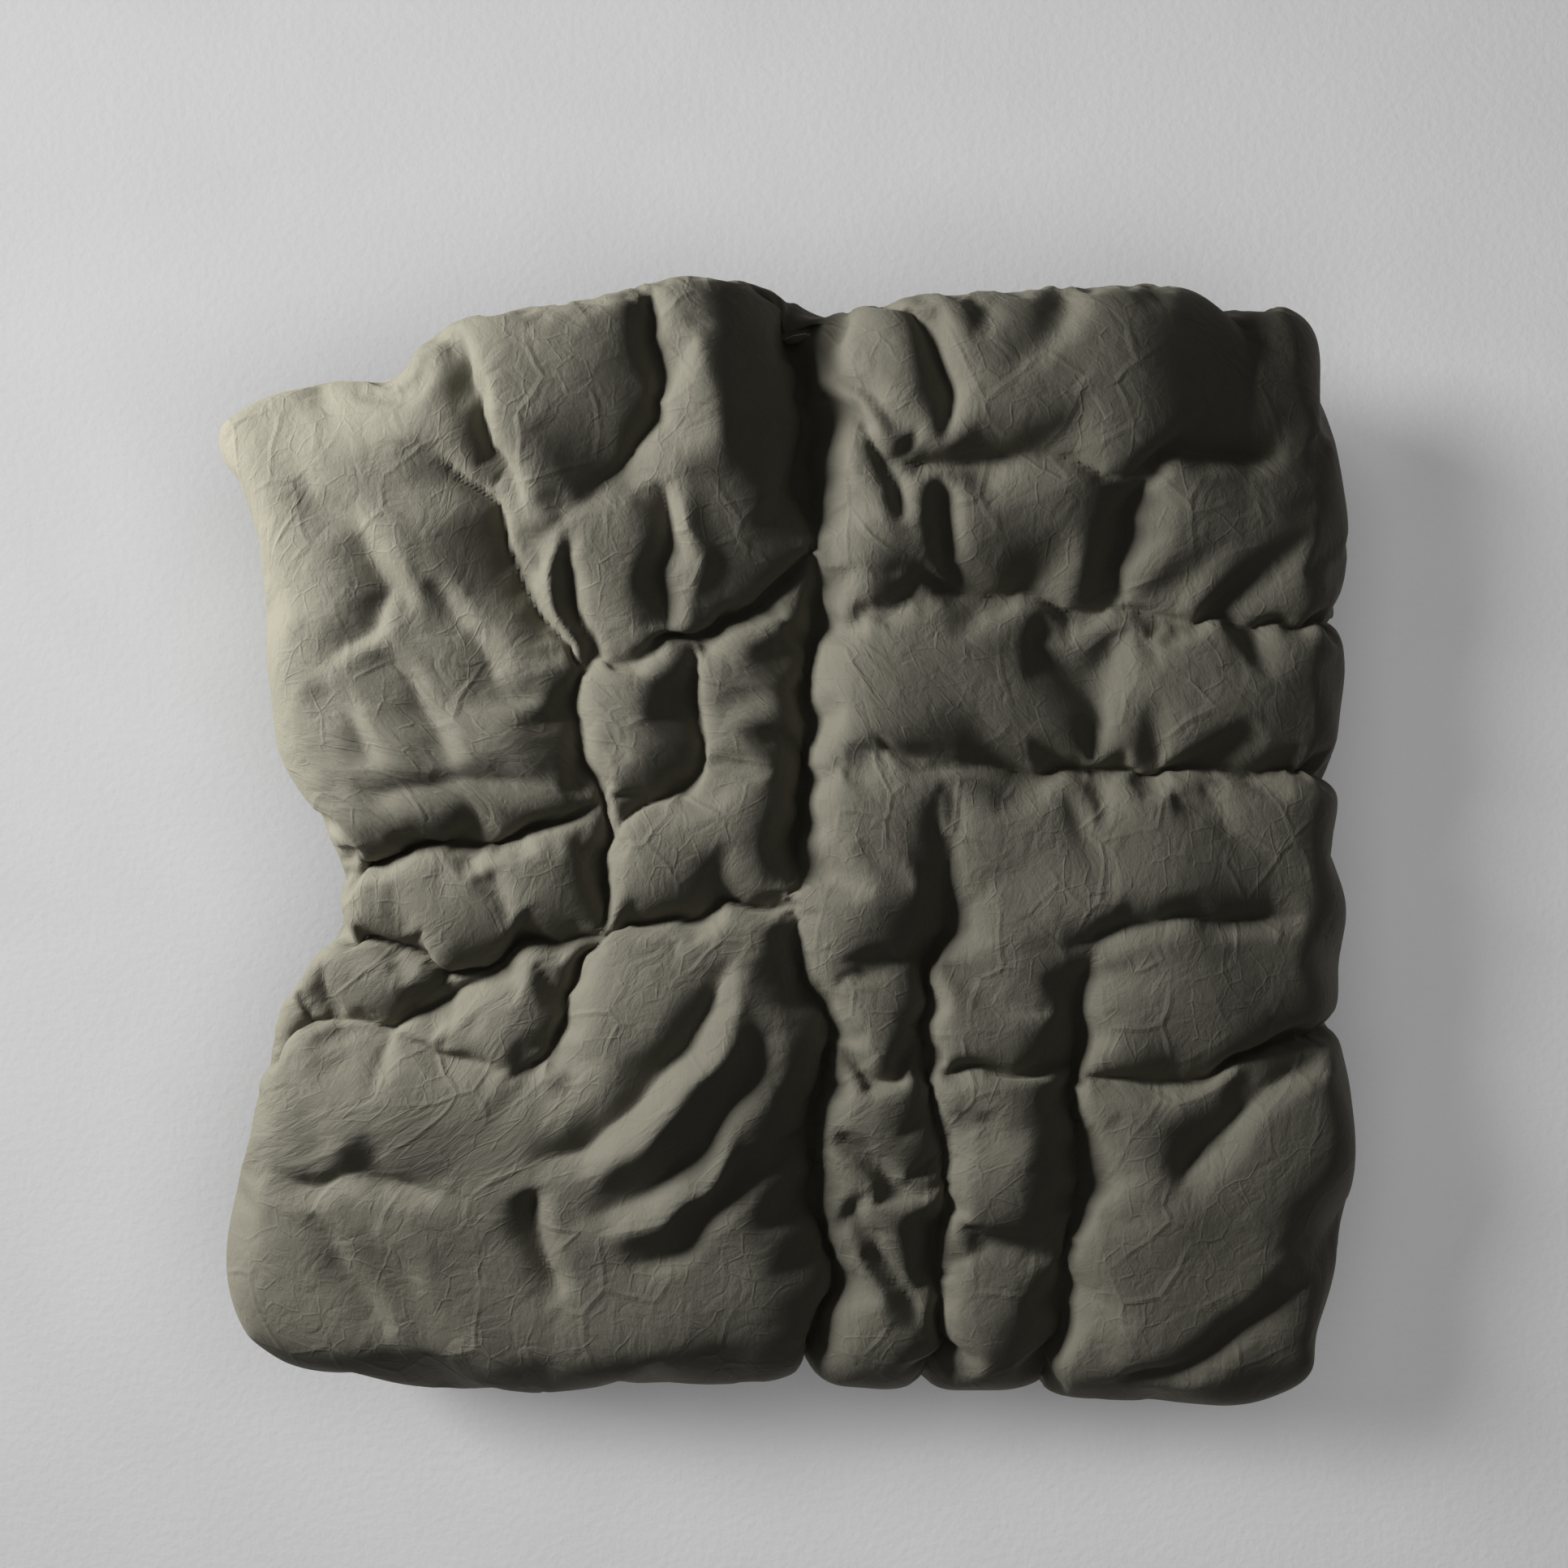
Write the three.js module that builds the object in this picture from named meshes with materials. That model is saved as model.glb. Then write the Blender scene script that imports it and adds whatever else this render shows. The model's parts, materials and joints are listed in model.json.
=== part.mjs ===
// A double duvet in its cover, lying over a mattress and two pillows.
// Millimetres, +Z up, +Y towards the head of the bed, +X to the right of someone at its foot.
// The origin is on the flat underside, at the height of the mattress top.
// Every sewn piece is cut from one draped field: a point is given by its distance across the
// cloth, its distance along the cloth, and its height above the underside.
import * as THREE from 'three';

// ---- Driving dimensions -------------------------------------------------------------------------

// How the insert lies, measured along its underside
const HALF_ACROSS = 1150; // middle line to the side edge
const HEAD_REACH = 1030; // origin to the head edge
const FOOT_REACH = 978; // origin to the foot edge

// The bed that it drapes over
const SIDE_FLAT = 885; // half the width that lies flat
const SIDE_BEND_RADIUS = 50;
const SIDE_BEND_DEG = 78; // how steeply the sides hang
const FOOT_FLAT = 660; // origin to the bend at the foot
const FOOT_BEND_RADIUS = 150;
const FOOT_BEND_DEG = 45;
const PILLOW_LIFT = 120;
const PILLOW_RAMP_START = 570; // where the duvet starts to climb onto the pillows
const PILLOW_RAMP_LENGTH = 200;
const PILLOW_HALF_SPAN = 690; // both pillows together, to one side of the middle
const PILLOW_SIDE_FALL = 160;

// How it has been pulled out of square
const HEAD_SLIP = 230; // the left head corner hangs this much nearer the foot
const HEAD_SLIP_START = 330; // from the middle line to where the slip begins
const LEFT_TAKE_UP = 60; // width that the folds take up halfway down the left side
const LEFT_TAKE_UP_AT = -90;
const LEFT_TAKE_UP_REACH = 520;

// The insert
const COLUMNS = 4;
const ROWS = 4;
const LOFT = 96; // thickness in the middle of a box
const WALL_HEIGHT = 62; // thickness over an inner wall
const EDGE_FILL = 2; // filling that is left at the sewn edge
const EDGE_RUN = 210; // from the sewn edge to full thickness

// The cover
const RING_FLAT = 20; // free room round the insert, where the corner ties are
const RING_CLOSE = 10; // then the two panels come together
const SEAM_FLANGE = 14; // stitched flange outside the seam
const HEM_DEPTH = 40; // depth of the hem bands at the foot opening
const OPENING_HALF = 600; // half the width of the foot opening
const OPENING_FADE = 160; // from the opening to where the foot is sewn flat

// Cloth and clearances
const CLOTH = 1; // a panel with its crinkle
const HEM_CLOTH = 1.5; // three layers, folded and stitched
const LAYER_GAP = 1; // between layers that lie on each other
const END_GAP = 0.6; // between pieces that meet end to end
const FOLD_SPLIT = 2; // slot at the fold line
const FOLD_AXIS_RISE = 10; // fold axis above the cloth

// Poppers of the foot opening
const POPPER_COUNT = 5;
const POPPER_PITCH = 240;
const POPPER_RADIUS = 6.5;
const POPPER_BASE = 1;
const KNOB_RADIUS = 2;
const KNOB_HEIGHT = 1.5;
const KNOB_CLEARANCE = 0.5;
const SOCKET_HEIGHT = 2.4;
const SEAT_GAP = 0.35;
const POPPER_SIDES = 12;

// Corner ties, insert loops and the care label
const LOOP_SIZE = 12;
const LOOP_BAR = 3;
const TAPE = 1.2; // thickness
const TIE_WIDTH = 6;
const TIE_LENGTH = 13;
const CORNER_INSET = 45; // from the side edge to a loop
const LABEL_WIDTH = 30;
const LABEL_REACH = 40;
const LABEL_AT = -420;
const LABEL_CLOTH = 0.6;

// How finely the soft shapes are cut
const CELLS_PER_BOX = 3;
const RAMP_CELLS = 3; // up the slope onto the pillows
const EDGE_MIDDLE = 1 / 2; // lines in the rise at an edge, as shares of it
const EDGE_START = 1 / 6;
const CLOSEST_LINES = 2; // lines nearer than this are one line
const SLOPE = 1; // step for measuring the slope of the underside

// ---- Materials ----------------------------------------------------------------------------------

const cloth = (color, roughness) => new THREE.MeshStandardMaterial({ color, roughness, metalness: 0 });
const coverCotton = cloth(0x6b675a, 0.85);
const hemCotton = cloth(0x625e52, 0.88);
const shellCotton = cloth(0xe9e6dd, 0.9);
const wallTape = cloth(0xdcd8cc, 0.95);
const filling = cloth(0xf3f0e8, 1);
const ribbon = cloth(0x7d796b, 0.8);
const satin = cloth(0xf2f1ec, 0.5);
const popperPlastic = cloth(0x57544b, 0.35);

// ---- The draped field ---------------------------------------------------------------------------

const radians = THREE.MathUtils.degToRad;
const smooth = (x, from, to) => THREE.MathUtils.smoothstep(x, from, to);

// Cloth that runs flat, bends round an edge and then hangs straight
function overEdge(run, flat, radius, angle) {
  const sign = Math.sign(run);
  const past = Math.abs(run) - flat;
  if (past <= 0) return { out: run, down: 0 };
  const turn = Math.min(past / radius, angle);
  const rest = past - turn * radius;
  return {
    out: sign * (flat + radius * Math.sin(turn) + rest * Math.cos(turn)),
    down: radius * (1 - Math.cos(turn)) + rest * Math.sin(turn),
  };
}

function pillowLift(x, along) {
  const climb = smooth(along, PILLOW_RAMP_START, PILLOW_RAMP_START + PILLOW_RAMP_LENGTH);
  const fall = smooth(Math.abs(x), PILLOW_HALF_SPAN, PILLOW_HALF_SPAN + PILLOW_SIDE_FALL);
  return PILLOW_LIFT * climb * (1 - fall);
}

function underside(across, along) {
  const away = Math.min(Math.abs(along - LEFT_TAKE_UP_AT) / LEFT_TAKE_UP_REACH, 1);
  const takenUp = across < 0 ? LEFT_TAKE_UP * (1 - smooth(away, 0, 1)) : 0;
  const run = across * (1 - takenUp / HALF_ACROSS);
  const side = overEdge(run, SIDE_FLAT, SIDE_BEND_RADIUS, radians(SIDE_BEND_DEG));
  const foot = along < 0
    ? overEdge(along, FOOT_FLAT, FOOT_BEND_RADIUS, radians(FOOT_BEND_DEG))
    : { out: along, down: 0 };
  const towardsLeft = smooth(-across, HEAD_SLIP_START, HALF_ACROSS);
  const slip = HEAD_SLIP * towardsLeft * smooth(along, foldAt, HEAD_REACH);
  const down = Math.hypot(side.down, foot.down); // the corners hang lowest
  return new THREE.Vector3(side.out, foot.out - slip, pillowLift(side.out, along) - down);
}

function outward(across, along) {
  const acrossStep = underside(across + SLOPE, along).sub(underside(across - SLOPE, along));
  const alongStep = underside(across, along + SLOPE).sub(underside(across, along - SLOPE));
  return acrossStep.cross(alongStep).normalize();
}

const place = (across, along, height) =>
  underside(across, along).addScaledVector(outward(across, along), height);

// ---- Where the boxes and the seams are ----------------------------------------------------------

const spaced = (from, to, count) =>
  Array.from({ length: count + 1 }, (_, i) => from + ((to - from) * i) / count);
const columnLines = spaced(-HALF_ACROSS, HALF_ACROSS, COLUMNS);
const rowLines = spaced(HEAD_REACH, -FOOT_REACH, ROWS); // head first
const foldAt = rowLines[1];
const headSide = foldAt + FOLD_SPLIT / 2;
const bodySide = foldAt - FOLD_SPLIT / 2;
const columnWalls = columnLines.slice(1, -1);
const rowWalls = rowLines.slice(1, -1).map((at, i) => (i === 0 ? bodySide - CLOTH / 2 : at));

const seam = RING_FLAT + RING_CLOSE; // insert edge to where the cover's panels meet
const sideEnd = HALF_ACROSS + seam;
const headEnd = HEAD_REACH + seam;
const footEnd = FOOT_REACH + seam;

// The foot opening, from the inner hem band up: stud, socket and outer hem band
const studSeat = HEM_CLOTH + SEAT_GAP;
const socketSeat = studSeat + POPPER_BASE + SEAT_GAP;
const outerSeat = socketSeat + SOCKET_HEIGHT + SEAT_GAP;
const bandTop = outerSeat + HEM_CLOTH;

// Depths from the cover's face: to the shell, and to the filling
const shellDepth = CLOTH + LAYER_GAP;
const fillDepth = shellDepth + CLOTH + LAYER_GAP;
const edgeHeight = 2 * fillDepth + EDGE_FILL; // of the whole duvet at the insert's sewn edge

// Thickness where the cover's panels have come together: sewn, or held apart by the poppers
function closedThickness(across, along) {
  const sewn = 2 * CLOTH + LAYER_GAP;
  const open = 1 - smooth(Math.abs(across), OPENING_HALF, OPENING_HALF + OPENING_FADE);
  return along < -FOOT_REACH ? THREE.MathUtils.lerp(sewn, bandTop, open) : sewn;
}

// Thickness of the whole duvet: full in the boxes, lower over the walls, thin at the edge
function thickness(across, along) {
  const inside = Math.min(HALF_ACROSS - Math.abs(across), HEAD_REACH - along, FOOT_REACH + along);
  const closed = THREE.MathUtils.clamp((-inside - RING_FLAT) / RING_CLOSE, 0, 1);
  if (inside < 0) return THREE.MathUtils.lerp(edgeHeight, closedThickness(across, along), closed);
  const rise = Math.sin((Math.PI / 2) * Math.min(inside / EDGE_RUN, 1));
  const boxAcross = Math.sin((Math.PI * (across + HALF_ACROSS)) / (2 * HALF_ACROSS / COLUMNS)) ** 2;
  const boxAlong = Math.sin((Math.PI * (HEAD_REACH - along)) / ((HEAD_REACH + FOOT_REACH) / ROWS)) ** 2;
  const full = THREE.MathUtils.lerp(WALL_HEIGHT, LOFT, Math.sqrt(boxAcross * boxAlong));
  return edgeHeight + (full - edgeHeight) * rise;
}

// Lines that all the soft pieces share, so that neighbours have matching facets
function sharedLines(values) {
  const sorted = [...values].sort((a, b) => a - b);
  return sorted.filter((value, i) => i === 0 || value - sorted[i - 1] > CLOSEST_LINES);
}

const boxCells = (lines) =>
  lines.slice(1).flatMap((to, i) => spaced(lines[i], to, CELLS_PER_BOX));
const sideArc = SIDE_BEND_RADIUS * radians(SIDE_BEND_DEG);
const footArc = FOOT_BEND_RADIUS * radians(FOOT_BEND_DEG);
const bothSides = (values) => values.flatMap((value) => [-value, value]);
const acrossLines = sharedLines([
  ...boxCells(columnLines).filter((at) => Math.abs(at) < SIDE_FLAT - sideArc),
  ...bothSides([SIDE_FLAT, SIDE_FLAT + sideArc / 2, SIDE_FLAT + sideArc]),
  ...bothSides([HALF_ACROSS - EDGE_RUN * EDGE_MIDDLE]),
  ...bothSides([HALF_ACROSS, HALF_ACROSS + RING_FLAT, sideEnd, OPENING_HALF]),
  ...columnLines,
]);
const alongLines = sharedLines([
  ...boxCells([...rowLines.slice(1)].reverse()).filter((at) => at > -FOOT_FLAT + footArc),
  ...spaced(PILLOW_RAMP_START, PILLOW_RAMP_START + PILLOW_RAMP_LENGTH, RAMP_CELLS),
  ...[EDGE_MIDDLE, EDGE_START].map((share) => HEAD_REACH - EDGE_RUN * share),
  ...[HEAD_REACH, HEAD_REACH + RING_FLAT, headEnd],
  ...[-FOOT_FLAT, -FOOT_FLAT - footArc / 2, -FOOT_FLAT - footArc],
  ...[EDGE_MIDDLE, EDGE_START].map((share) => -FOOT_REACH + EDGE_RUN * share),
  ...[-FOOT_REACH, -FOOT_REACH - RING_FLAT, -footEnd],
]);

// The two lines that a distance lies between, and how far from the first to the second
function between(lines, at) {
  const next = lines.findIndex((line) => line >= at);
  if (next <= 0) return [at, at, 0];
  return [lines[next - 1], lines[next], (at - lines[next - 1]) / (lines[next] - lines[next - 1])];
}

// A point on the facets that the shared lines make, so that a piece which ends between two
// lines still lies flat against its neighbours
function onFacets(across, along, height) {
  const [left, right, toRight] = between(acrossLines, across);
  const [low, high, toHigh] = between(alongLines, along);
  const edge = (at) => {
    const start = place(left, at, height(left, at));
    return start.lerp(place(right, at, height(right, at)), toRight);
  };
  return edge(low).lerp(edge(high), toHigh);
}

// ---- Making a sewn piece ------------------------------------------------------------------------

const group = new THREE.Group();

function add(name, geometry, material) {
  const mesh = new THREE.Mesh(geometry, material);
  mesh.name = name;
  group.add(mesh);
  return mesh;
}

// The shared lines between two ends, with the ends themselves
const span = (lines, from, to) => {
  const inner = lines.filter((at) => at > from + CLOSEST_LINES && at < to - CLOSEST_LINES);
  return [from, ...inner, to];
};

// A closed piece over the cells that keep() accepts, between two heights above the underside
function sewnPiece(across, along, low, high, keep = () => true) {
  const points = [];
  const faces = [];
  const index = new Map();
  const corner = (i, j, top) => {
    const key = `${i},${j},${top}`;
    if (!index.has(key)) {
      index.set(key, points.length / 3);
      points.push(...onFacets(across[i], along[j], top ? high : low).toArray());
    }
    return index.get(key);
  };
  const quad = (a, b, c, d) => faces.push(a, b, c, a, c, d);
  const kept = (i, j) =>
    i >= 0 && j >= 0 && i < across.length - 1 && j < along.length - 1 &&
    keep((across[i] + across[i + 1]) / 2, (along[j] + along[j + 1]) / 2);
  // side walls, split so that facing walls of neighbours have their diagonals the same way
  const wall = (from, to) => [corner(...from, 0), corner(...to, 0), corner(...to, 1), corner(...from, 1)];
  const near = (from, to) => quad(...wall(from, to));
  const far = (from, to) => {
    const [start, end, endTop, startTop] = wall(from, to);
    quad(end, endTop, startTop, start);
  };
  for (let i = 0; i < across.length - 1; i += 1) {
    for (let j = 0; j < along.length - 1; j += 1) {
      if (!kept(i, j)) continue;
      quad(corner(i, j, 1), corner(i + 1, j, 1), corner(i + 1, j + 1, 1), corner(i, j + 1, 1));
      faces.push(corner(i, j, 0), corner(i + 1, j + 1, 0), corner(i + 1, j, 0));
      faces.push(corner(i, j, 0), corner(i, j + 1, 0), corner(i + 1, j + 1, 0));
      if (!kept(i, j - 1)) near([i, j], [i + 1, j]);
      if (!kept(i + 1, j)) near([i + 1, j], [i + 1, j + 1]);
      if (!kept(i, j + 1)) far([i + 1, j + 1], [i, j + 1]);
      if (!kept(i - 1, j)) far([i, j + 1], [i, j]);
    }
  }
  const geometry = new THREE.BufferGeometry();
  geometry.setAttribute('position', new THREE.Float32BufferAttribute(points, 3));
  geometry.setIndex(faces);
  geometry.computeVertexNormals();
  return geometry;
}

// Heights of the layers, from the underside up and from the top down
const upTo = (height) => () => height;
const downTo = (depth) => (across, along) => thickness(across, along) - depth;
const middle = (offset) => (across, along) => thickness(across, along) / 2 + offset;

// ---- The cover's two panels, each in its head part and its body part ------------------------------

const inCover = (across, along) => along > -footEnd || Math.abs(across) > OPENING_HALF;
const coverWidth = span(acrossLines, -sideEnd - SEAM_FLANGE, sideEnd + SEAM_FLANGE);
const coverParts = {
  head: span(alongLines, headSide, headEnd + SEAM_FLANGE),
  body: span(alongLines, -footEnd - HEM_DEPTH, bodySide),
};
for (const [part, along] of Object.entries(coverParts)) {
  add(`cover_top_${part}`, sewnPiece(coverWidth, along, downTo(CLOTH), downTo(0), inCover), coverCotton);
  add(`cover_bottom_${part}`, sewnPiece(coverWidth, along, upTo(0), upTo(CLOTH), inCover), coverCotton);
}

// ---- The insert: two shells, walls between them and a filling in every box ------------------------

const insertWidth = span(acrossLines, -HALF_ACROSS, HALF_ACROSS);
const insertParts = {
  head: span(alongLines, headSide, HEAD_REACH),
  body: span(alongLines, -FOOT_REACH, bodySide),
};
for (const [part, along] of Object.entries(insertParts)) {
  const top = sewnPiece(insertWidth, along, downTo(shellDepth + CLOTH), downTo(shellDepth));
  const bottom = sewnPiece(insertWidth, along, upTo(shellDepth), upTo(shellDepth + CLOTH));
  add(`insert_shell_top_${part}`, top, shellCotton);
  add(`insert_shell_bottom_${part}`, bottom, shellCotton);
}

const wallEnd = CLOTH / 2 + END_GAP; // from a wall's middle to what meets it
const fillPiece = (across, along) => sewnPiece(across, along, upTo(fillDepth), downTo(fillDepth));

rowWalls.forEach((at, i) => {
  const across = span(acrossLines, -HALF_ACROSS + END_GAP, HALF_ACROSS - END_GAP);
  add(`insert_cross_wall_${i + 1}`, fillPiece(across, [at - CLOTH / 2, at + CLOTH / 2]), wallTape);
});

const boxes = rowLines.slice(1).map((foot, i) => ({
  high: i === 0 ? HEAD_REACH - END_GAP : rowWalls[i - 1] - wallEnd,
  low: [headSide, ...rowWalls.slice(1).map((wall) => wall + wallEnd), foot + END_GAP][i],
}));
boxes.forEach(({ high, low }, row) => {
  const along = span(alongLines, low, high);
  columnWalls.forEach((at, i) => {
    const wall = fillPiece([at - CLOTH / 2, at + CLOTH / 2], along);
    add(`insert_long_wall_${row + 1}_${i + 1}`, wall, wallTape);
  });
  for (let column = 0; column < COLUMNS; column += 1) {
    const left = columnLines[column] + (column === 0 ? END_GAP : wallEnd);
    const right = columnLines[column + 1] - (column === COLUMNS - 1 ? END_GAP : wallEnd);
    add(`filling_${row + 1}_${column + 1}`, fillPiece(span(acrossLines, left, right), along), filling);
  }
});

// ---- Corner loops on the insert and ties in the cover --------------------------------------------

const loopFoot = shellDepth + LAYER_GAP;
const tieFoot = loopFoot + TAPE + LAYER_GAP;
for (const [side, sign] of [['left', -1], ['right', 1]]) {
  for (const [end, at] of [['head', HEAD_REACH - CORNER_INSET], ['foot', -FOOT_REACH + CORNER_INSET]]) {
    const start = HALF_ACROSS + END_GAP;
    const ordered = (a, b) => (sign > 0 ? [a, b] : [-b, -a]);
    const bars = (from) => [from, from + LOOP_BAR, from + LOOP_SIZE - LOOP_BAR, from + LOOP_SIZE];
    const loopAcross = bars(start).map((across) => sign * across).sort((a, b) => a - b);
    const loopAlong = bars(at - LOOP_SIZE / 2);
    const hole = (across, along) =>
      Math.abs(Math.abs(across) - start - LOOP_SIZE / 2) > LOOP_SIZE / 2 - LOOP_BAR ||
      Math.abs(along - at) > LOOP_SIZE / 2 - LOOP_BAR;
    const tape = (across, along, foot, keep) =>
      sewnPiece(across, along, upTo(foot), upTo(foot + TAPE), keep);
    add(`insert_loop_${end}_${side}`, tape(loopAcross, loopAlong, loopFoot, hole), ribbon);
    const tieAcross = ordered(sideEnd - RING_CLOSE - TIE_LENGTH, sideEnd - RING_CLOSE);
    const tieAlong = [at - TIE_WIDTH / 2, at + TIE_WIDTH / 2];
    add(`cover_tie_${end}_${side}`, tape(tieAcross, tieAlong, tieFoot), ribbon);
  }
}

// ---- Blank care label, standing out of the left seam ----------------------------------------------

const labelAcross = [-sideEnd - SEAM_FLANGE - END_GAP - LABEL_REACH, -sideEnd - SEAM_FLANGE - END_GAP];
const labelAlong = [LABEL_AT - LABEL_WIDTH / 2, LABEL_AT + LABEL_WIDTH / 2];
const labelFaces = [middle(-LABEL_CLOTH / 2), middle(LABEL_CLOTH / 2)];
add('care_label', sewnPiece(labelAcross, labelAlong, ...labelFaces), satin);

// ---- Foot opening: two hem bands and the poppers between them -------------------------------------

const bandAlong = [-footEnd - HEM_DEPTH, -footEnd - END_GAP];
const bandAcross = span(acrossLines, -OPENING_HALF + END_GAP, OPENING_HALF - END_GAP);
const bandSpan = (from, to) => sewnPiece(bandAcross, bandAlong, upTo(from), upTo(to));
add('hem_band_inner', bandSpan(0, HEM_CLOTH), hemCotton);
add('hem_band_outer', bandSpan(outerSeat, bandTop), hemCotton);

function turned(points) {
  const profile = points.map(([x, y]) => new THREE.Vector2(x, y));
  return new THREE.LatheGeometry(profile, POPPER_SIDES);
}
const stud = turned([
  [0, 0],
  [POPPER_RADIUS, 0],
  [POPPER_RADIUS, POPPER_BASE],
  [KNOB_RADIUS, POPPER_BASE],
  [KNOB_RADIUS, POPPER_BASE + KNOB_HEIGHT],
  [0, POPPER_BASE + KNOB_HEIGHT],
]);
const socketHole = KNOB_RADIUS + KNOB_CLEARANCE;
const socketRoof = KNOB_HEIGHT - SEAT_GAP + KNOB_CLEARANCE;
const socket = turned([
  [0, socketRoof],
  [socketHole, socketRoof],
  [socketHole, 0],
  [POPPER_RADIUS, 0],
  [POPPER_RADIUS, SOCKET_HEIGHT],
  [0, SOCKET_HEIGHT],
]);
const popperAlong = -footEnd - HEM_DEPTH / 2;
for (let i = 0; i < POPPER_COUNT; i += 1) {
  const across = (i - (POPPER_COUNT - 1) / 2) * POPPER_PITCH;
  const up = outward(across, popperAlong);
  for (const [name, shape, seat] of [['stud', stud, studSeat], ['socket', socket, socketSeat]]) {
    const mesh = add(`popper_${name}_${i + 1}`, shape, popperPlastic);
    mesh.position.copy(place(across, popperAlong, seat));
    mesh.quaternion.setFromUnitVectors(new THREE.Vector3(0, 1, 0), up);
  }
}

// ---- Fold axes, for whoever joins the parts -------------------------------------------------------

export const foldAxis = new THREE.Vector3(0, foldAt, WALL_HEIGHT + FOLD_AXIS_RISE);
export const openingAxis = place(0, -footEnd - END_GAP / 2, bandTop);

export default group;
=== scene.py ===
# %% [markdown]
# # A double duvet in its cover, lying over a bed
#
# The imported frame gives the evenly draped duvet: where it lies flat, where it bends over the
# mattress, where its head end climbs onto the pillows, and the two hinges that let it be used.
# This script makes the cloth that is seen: the cover with its creases, the bottom panel, the
# seams and the insert inside, and it dresses and stitches the frame's hem bands. Everything is in
# metres, in the frame's own axes.

import json
import math

import bmesh
import bpy
import numpy as np
from mathutils import Matrix, Vector


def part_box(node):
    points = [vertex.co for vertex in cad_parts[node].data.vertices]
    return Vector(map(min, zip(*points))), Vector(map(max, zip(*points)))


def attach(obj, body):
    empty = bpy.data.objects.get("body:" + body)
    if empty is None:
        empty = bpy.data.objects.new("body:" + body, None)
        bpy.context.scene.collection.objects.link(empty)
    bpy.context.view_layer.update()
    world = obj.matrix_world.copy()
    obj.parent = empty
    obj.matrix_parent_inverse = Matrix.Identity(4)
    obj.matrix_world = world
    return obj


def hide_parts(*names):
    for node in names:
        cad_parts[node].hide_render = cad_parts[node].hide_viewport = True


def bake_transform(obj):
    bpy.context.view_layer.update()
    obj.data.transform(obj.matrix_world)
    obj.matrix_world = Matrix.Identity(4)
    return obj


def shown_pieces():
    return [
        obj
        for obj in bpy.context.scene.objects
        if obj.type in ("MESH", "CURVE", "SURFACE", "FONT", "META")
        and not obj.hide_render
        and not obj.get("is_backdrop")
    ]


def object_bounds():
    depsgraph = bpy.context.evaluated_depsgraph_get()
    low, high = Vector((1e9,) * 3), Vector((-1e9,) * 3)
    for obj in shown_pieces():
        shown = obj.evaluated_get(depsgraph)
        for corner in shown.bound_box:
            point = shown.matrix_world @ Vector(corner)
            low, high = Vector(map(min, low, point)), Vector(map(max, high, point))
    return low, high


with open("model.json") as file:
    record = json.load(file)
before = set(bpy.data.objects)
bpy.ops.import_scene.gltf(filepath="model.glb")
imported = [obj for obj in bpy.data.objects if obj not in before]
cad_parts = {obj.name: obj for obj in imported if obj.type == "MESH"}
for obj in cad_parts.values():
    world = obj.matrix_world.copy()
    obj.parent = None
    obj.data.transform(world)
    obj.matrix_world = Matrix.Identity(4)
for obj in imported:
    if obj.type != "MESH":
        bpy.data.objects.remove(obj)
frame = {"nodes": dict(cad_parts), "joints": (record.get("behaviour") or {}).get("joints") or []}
frame_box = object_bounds()
body, head_end = "body", "head_end"
print("frame box", [[round(v, 3) for v in corner] for corner in frame_box])

# %% [markdown]
# ## The camera
#
# The bed is seen from straight above, a little towards its head end, from high enough that the
# hanging sides hardly show. A camera over a bed is simply placed above it and left unturned,
# because an unturned camera in Blender looks down.

# %% Camera
CAMERA_HEIGHT = 3.8
CAMERA_TOWARDS_HEAD = 0.14
VIEW_WIDTH = 2.936  # metres of bed across the picture, at the mattress top
SENSOR = 36.0

camera_data = bpy.data.cameras.new("overhead")
camera_data.sensor_width = SENSOR
camera_data.lens = SENSOR * CAMERA_HEIGHT / VIEW_WIDTH
camera = bpy.data.objects.new("overhead", camera_data)
camera.location = (0, CAMERA_TOWARDS_HEAD, CAMERA_HEIGHT)
bpy.context.collection.objects.link(camera)
bpy.context.scene.camera = camera
print("lens", round(camera_data.lens, 1))

# %% [markdown]
# ## Small helpers
#
# A smooth step from 0 to 1 shapes almost every transition in cloth, and a line through a few
# chosen points, rounded by a Catmull-Rom curve, shapes every edge.


# %% Helpers
def smooth(x, start, end):
    """0 before start, 1 after end, and an even S between."""
    t = np.clip((x - start) / (end - start), 0, 1)
    return t * t * (3 - 2 * t)


def unit(vectors):
    return vectors / np.linalg.norm(vectors, axis=-1, keepdims=True)


def run_of(line):
    """The running length at each point of a line."""
    return np.concatenate([[0], np.cumsum(np.linalg.norm(np.diff(line, axis=0), axis=1))])


def read_at(stops, run, values):
    """Rows of values along a line, read at stops on its running length."""
    return np.stack([np.interp(stops, run, column) for column in values.T], axis=-1)


def through(points, fractions):
    """A rounded curve through the points, read at fractions from 0 to 1 of its length."""
    points = np.array(points, float)
    ends = np.vstack([2 * points[0] - points[1], points, 2 * points[-1] - points[-2]])
    fine = []
    for i in range(1, len(ends) - 2):
        t = np.linspace(0, 1, 24, endpoint=False)[:, None]
        a, b, c, d = ends[i - 1], ends[i], ends[i + 1], ends[i + 2]
        fine.append(0.5 * (2 * b + (c - a) * t + (2 * a - 5 * b + 4 * c - d) * t**2
                           + (3 * b - a - 3 * c + d) * t**3))
    fine = np.vstack([*fine, points[-1:]])
    run = run_of(fine)
    return read_at(fractions * run[-1], run, fine)


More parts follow.
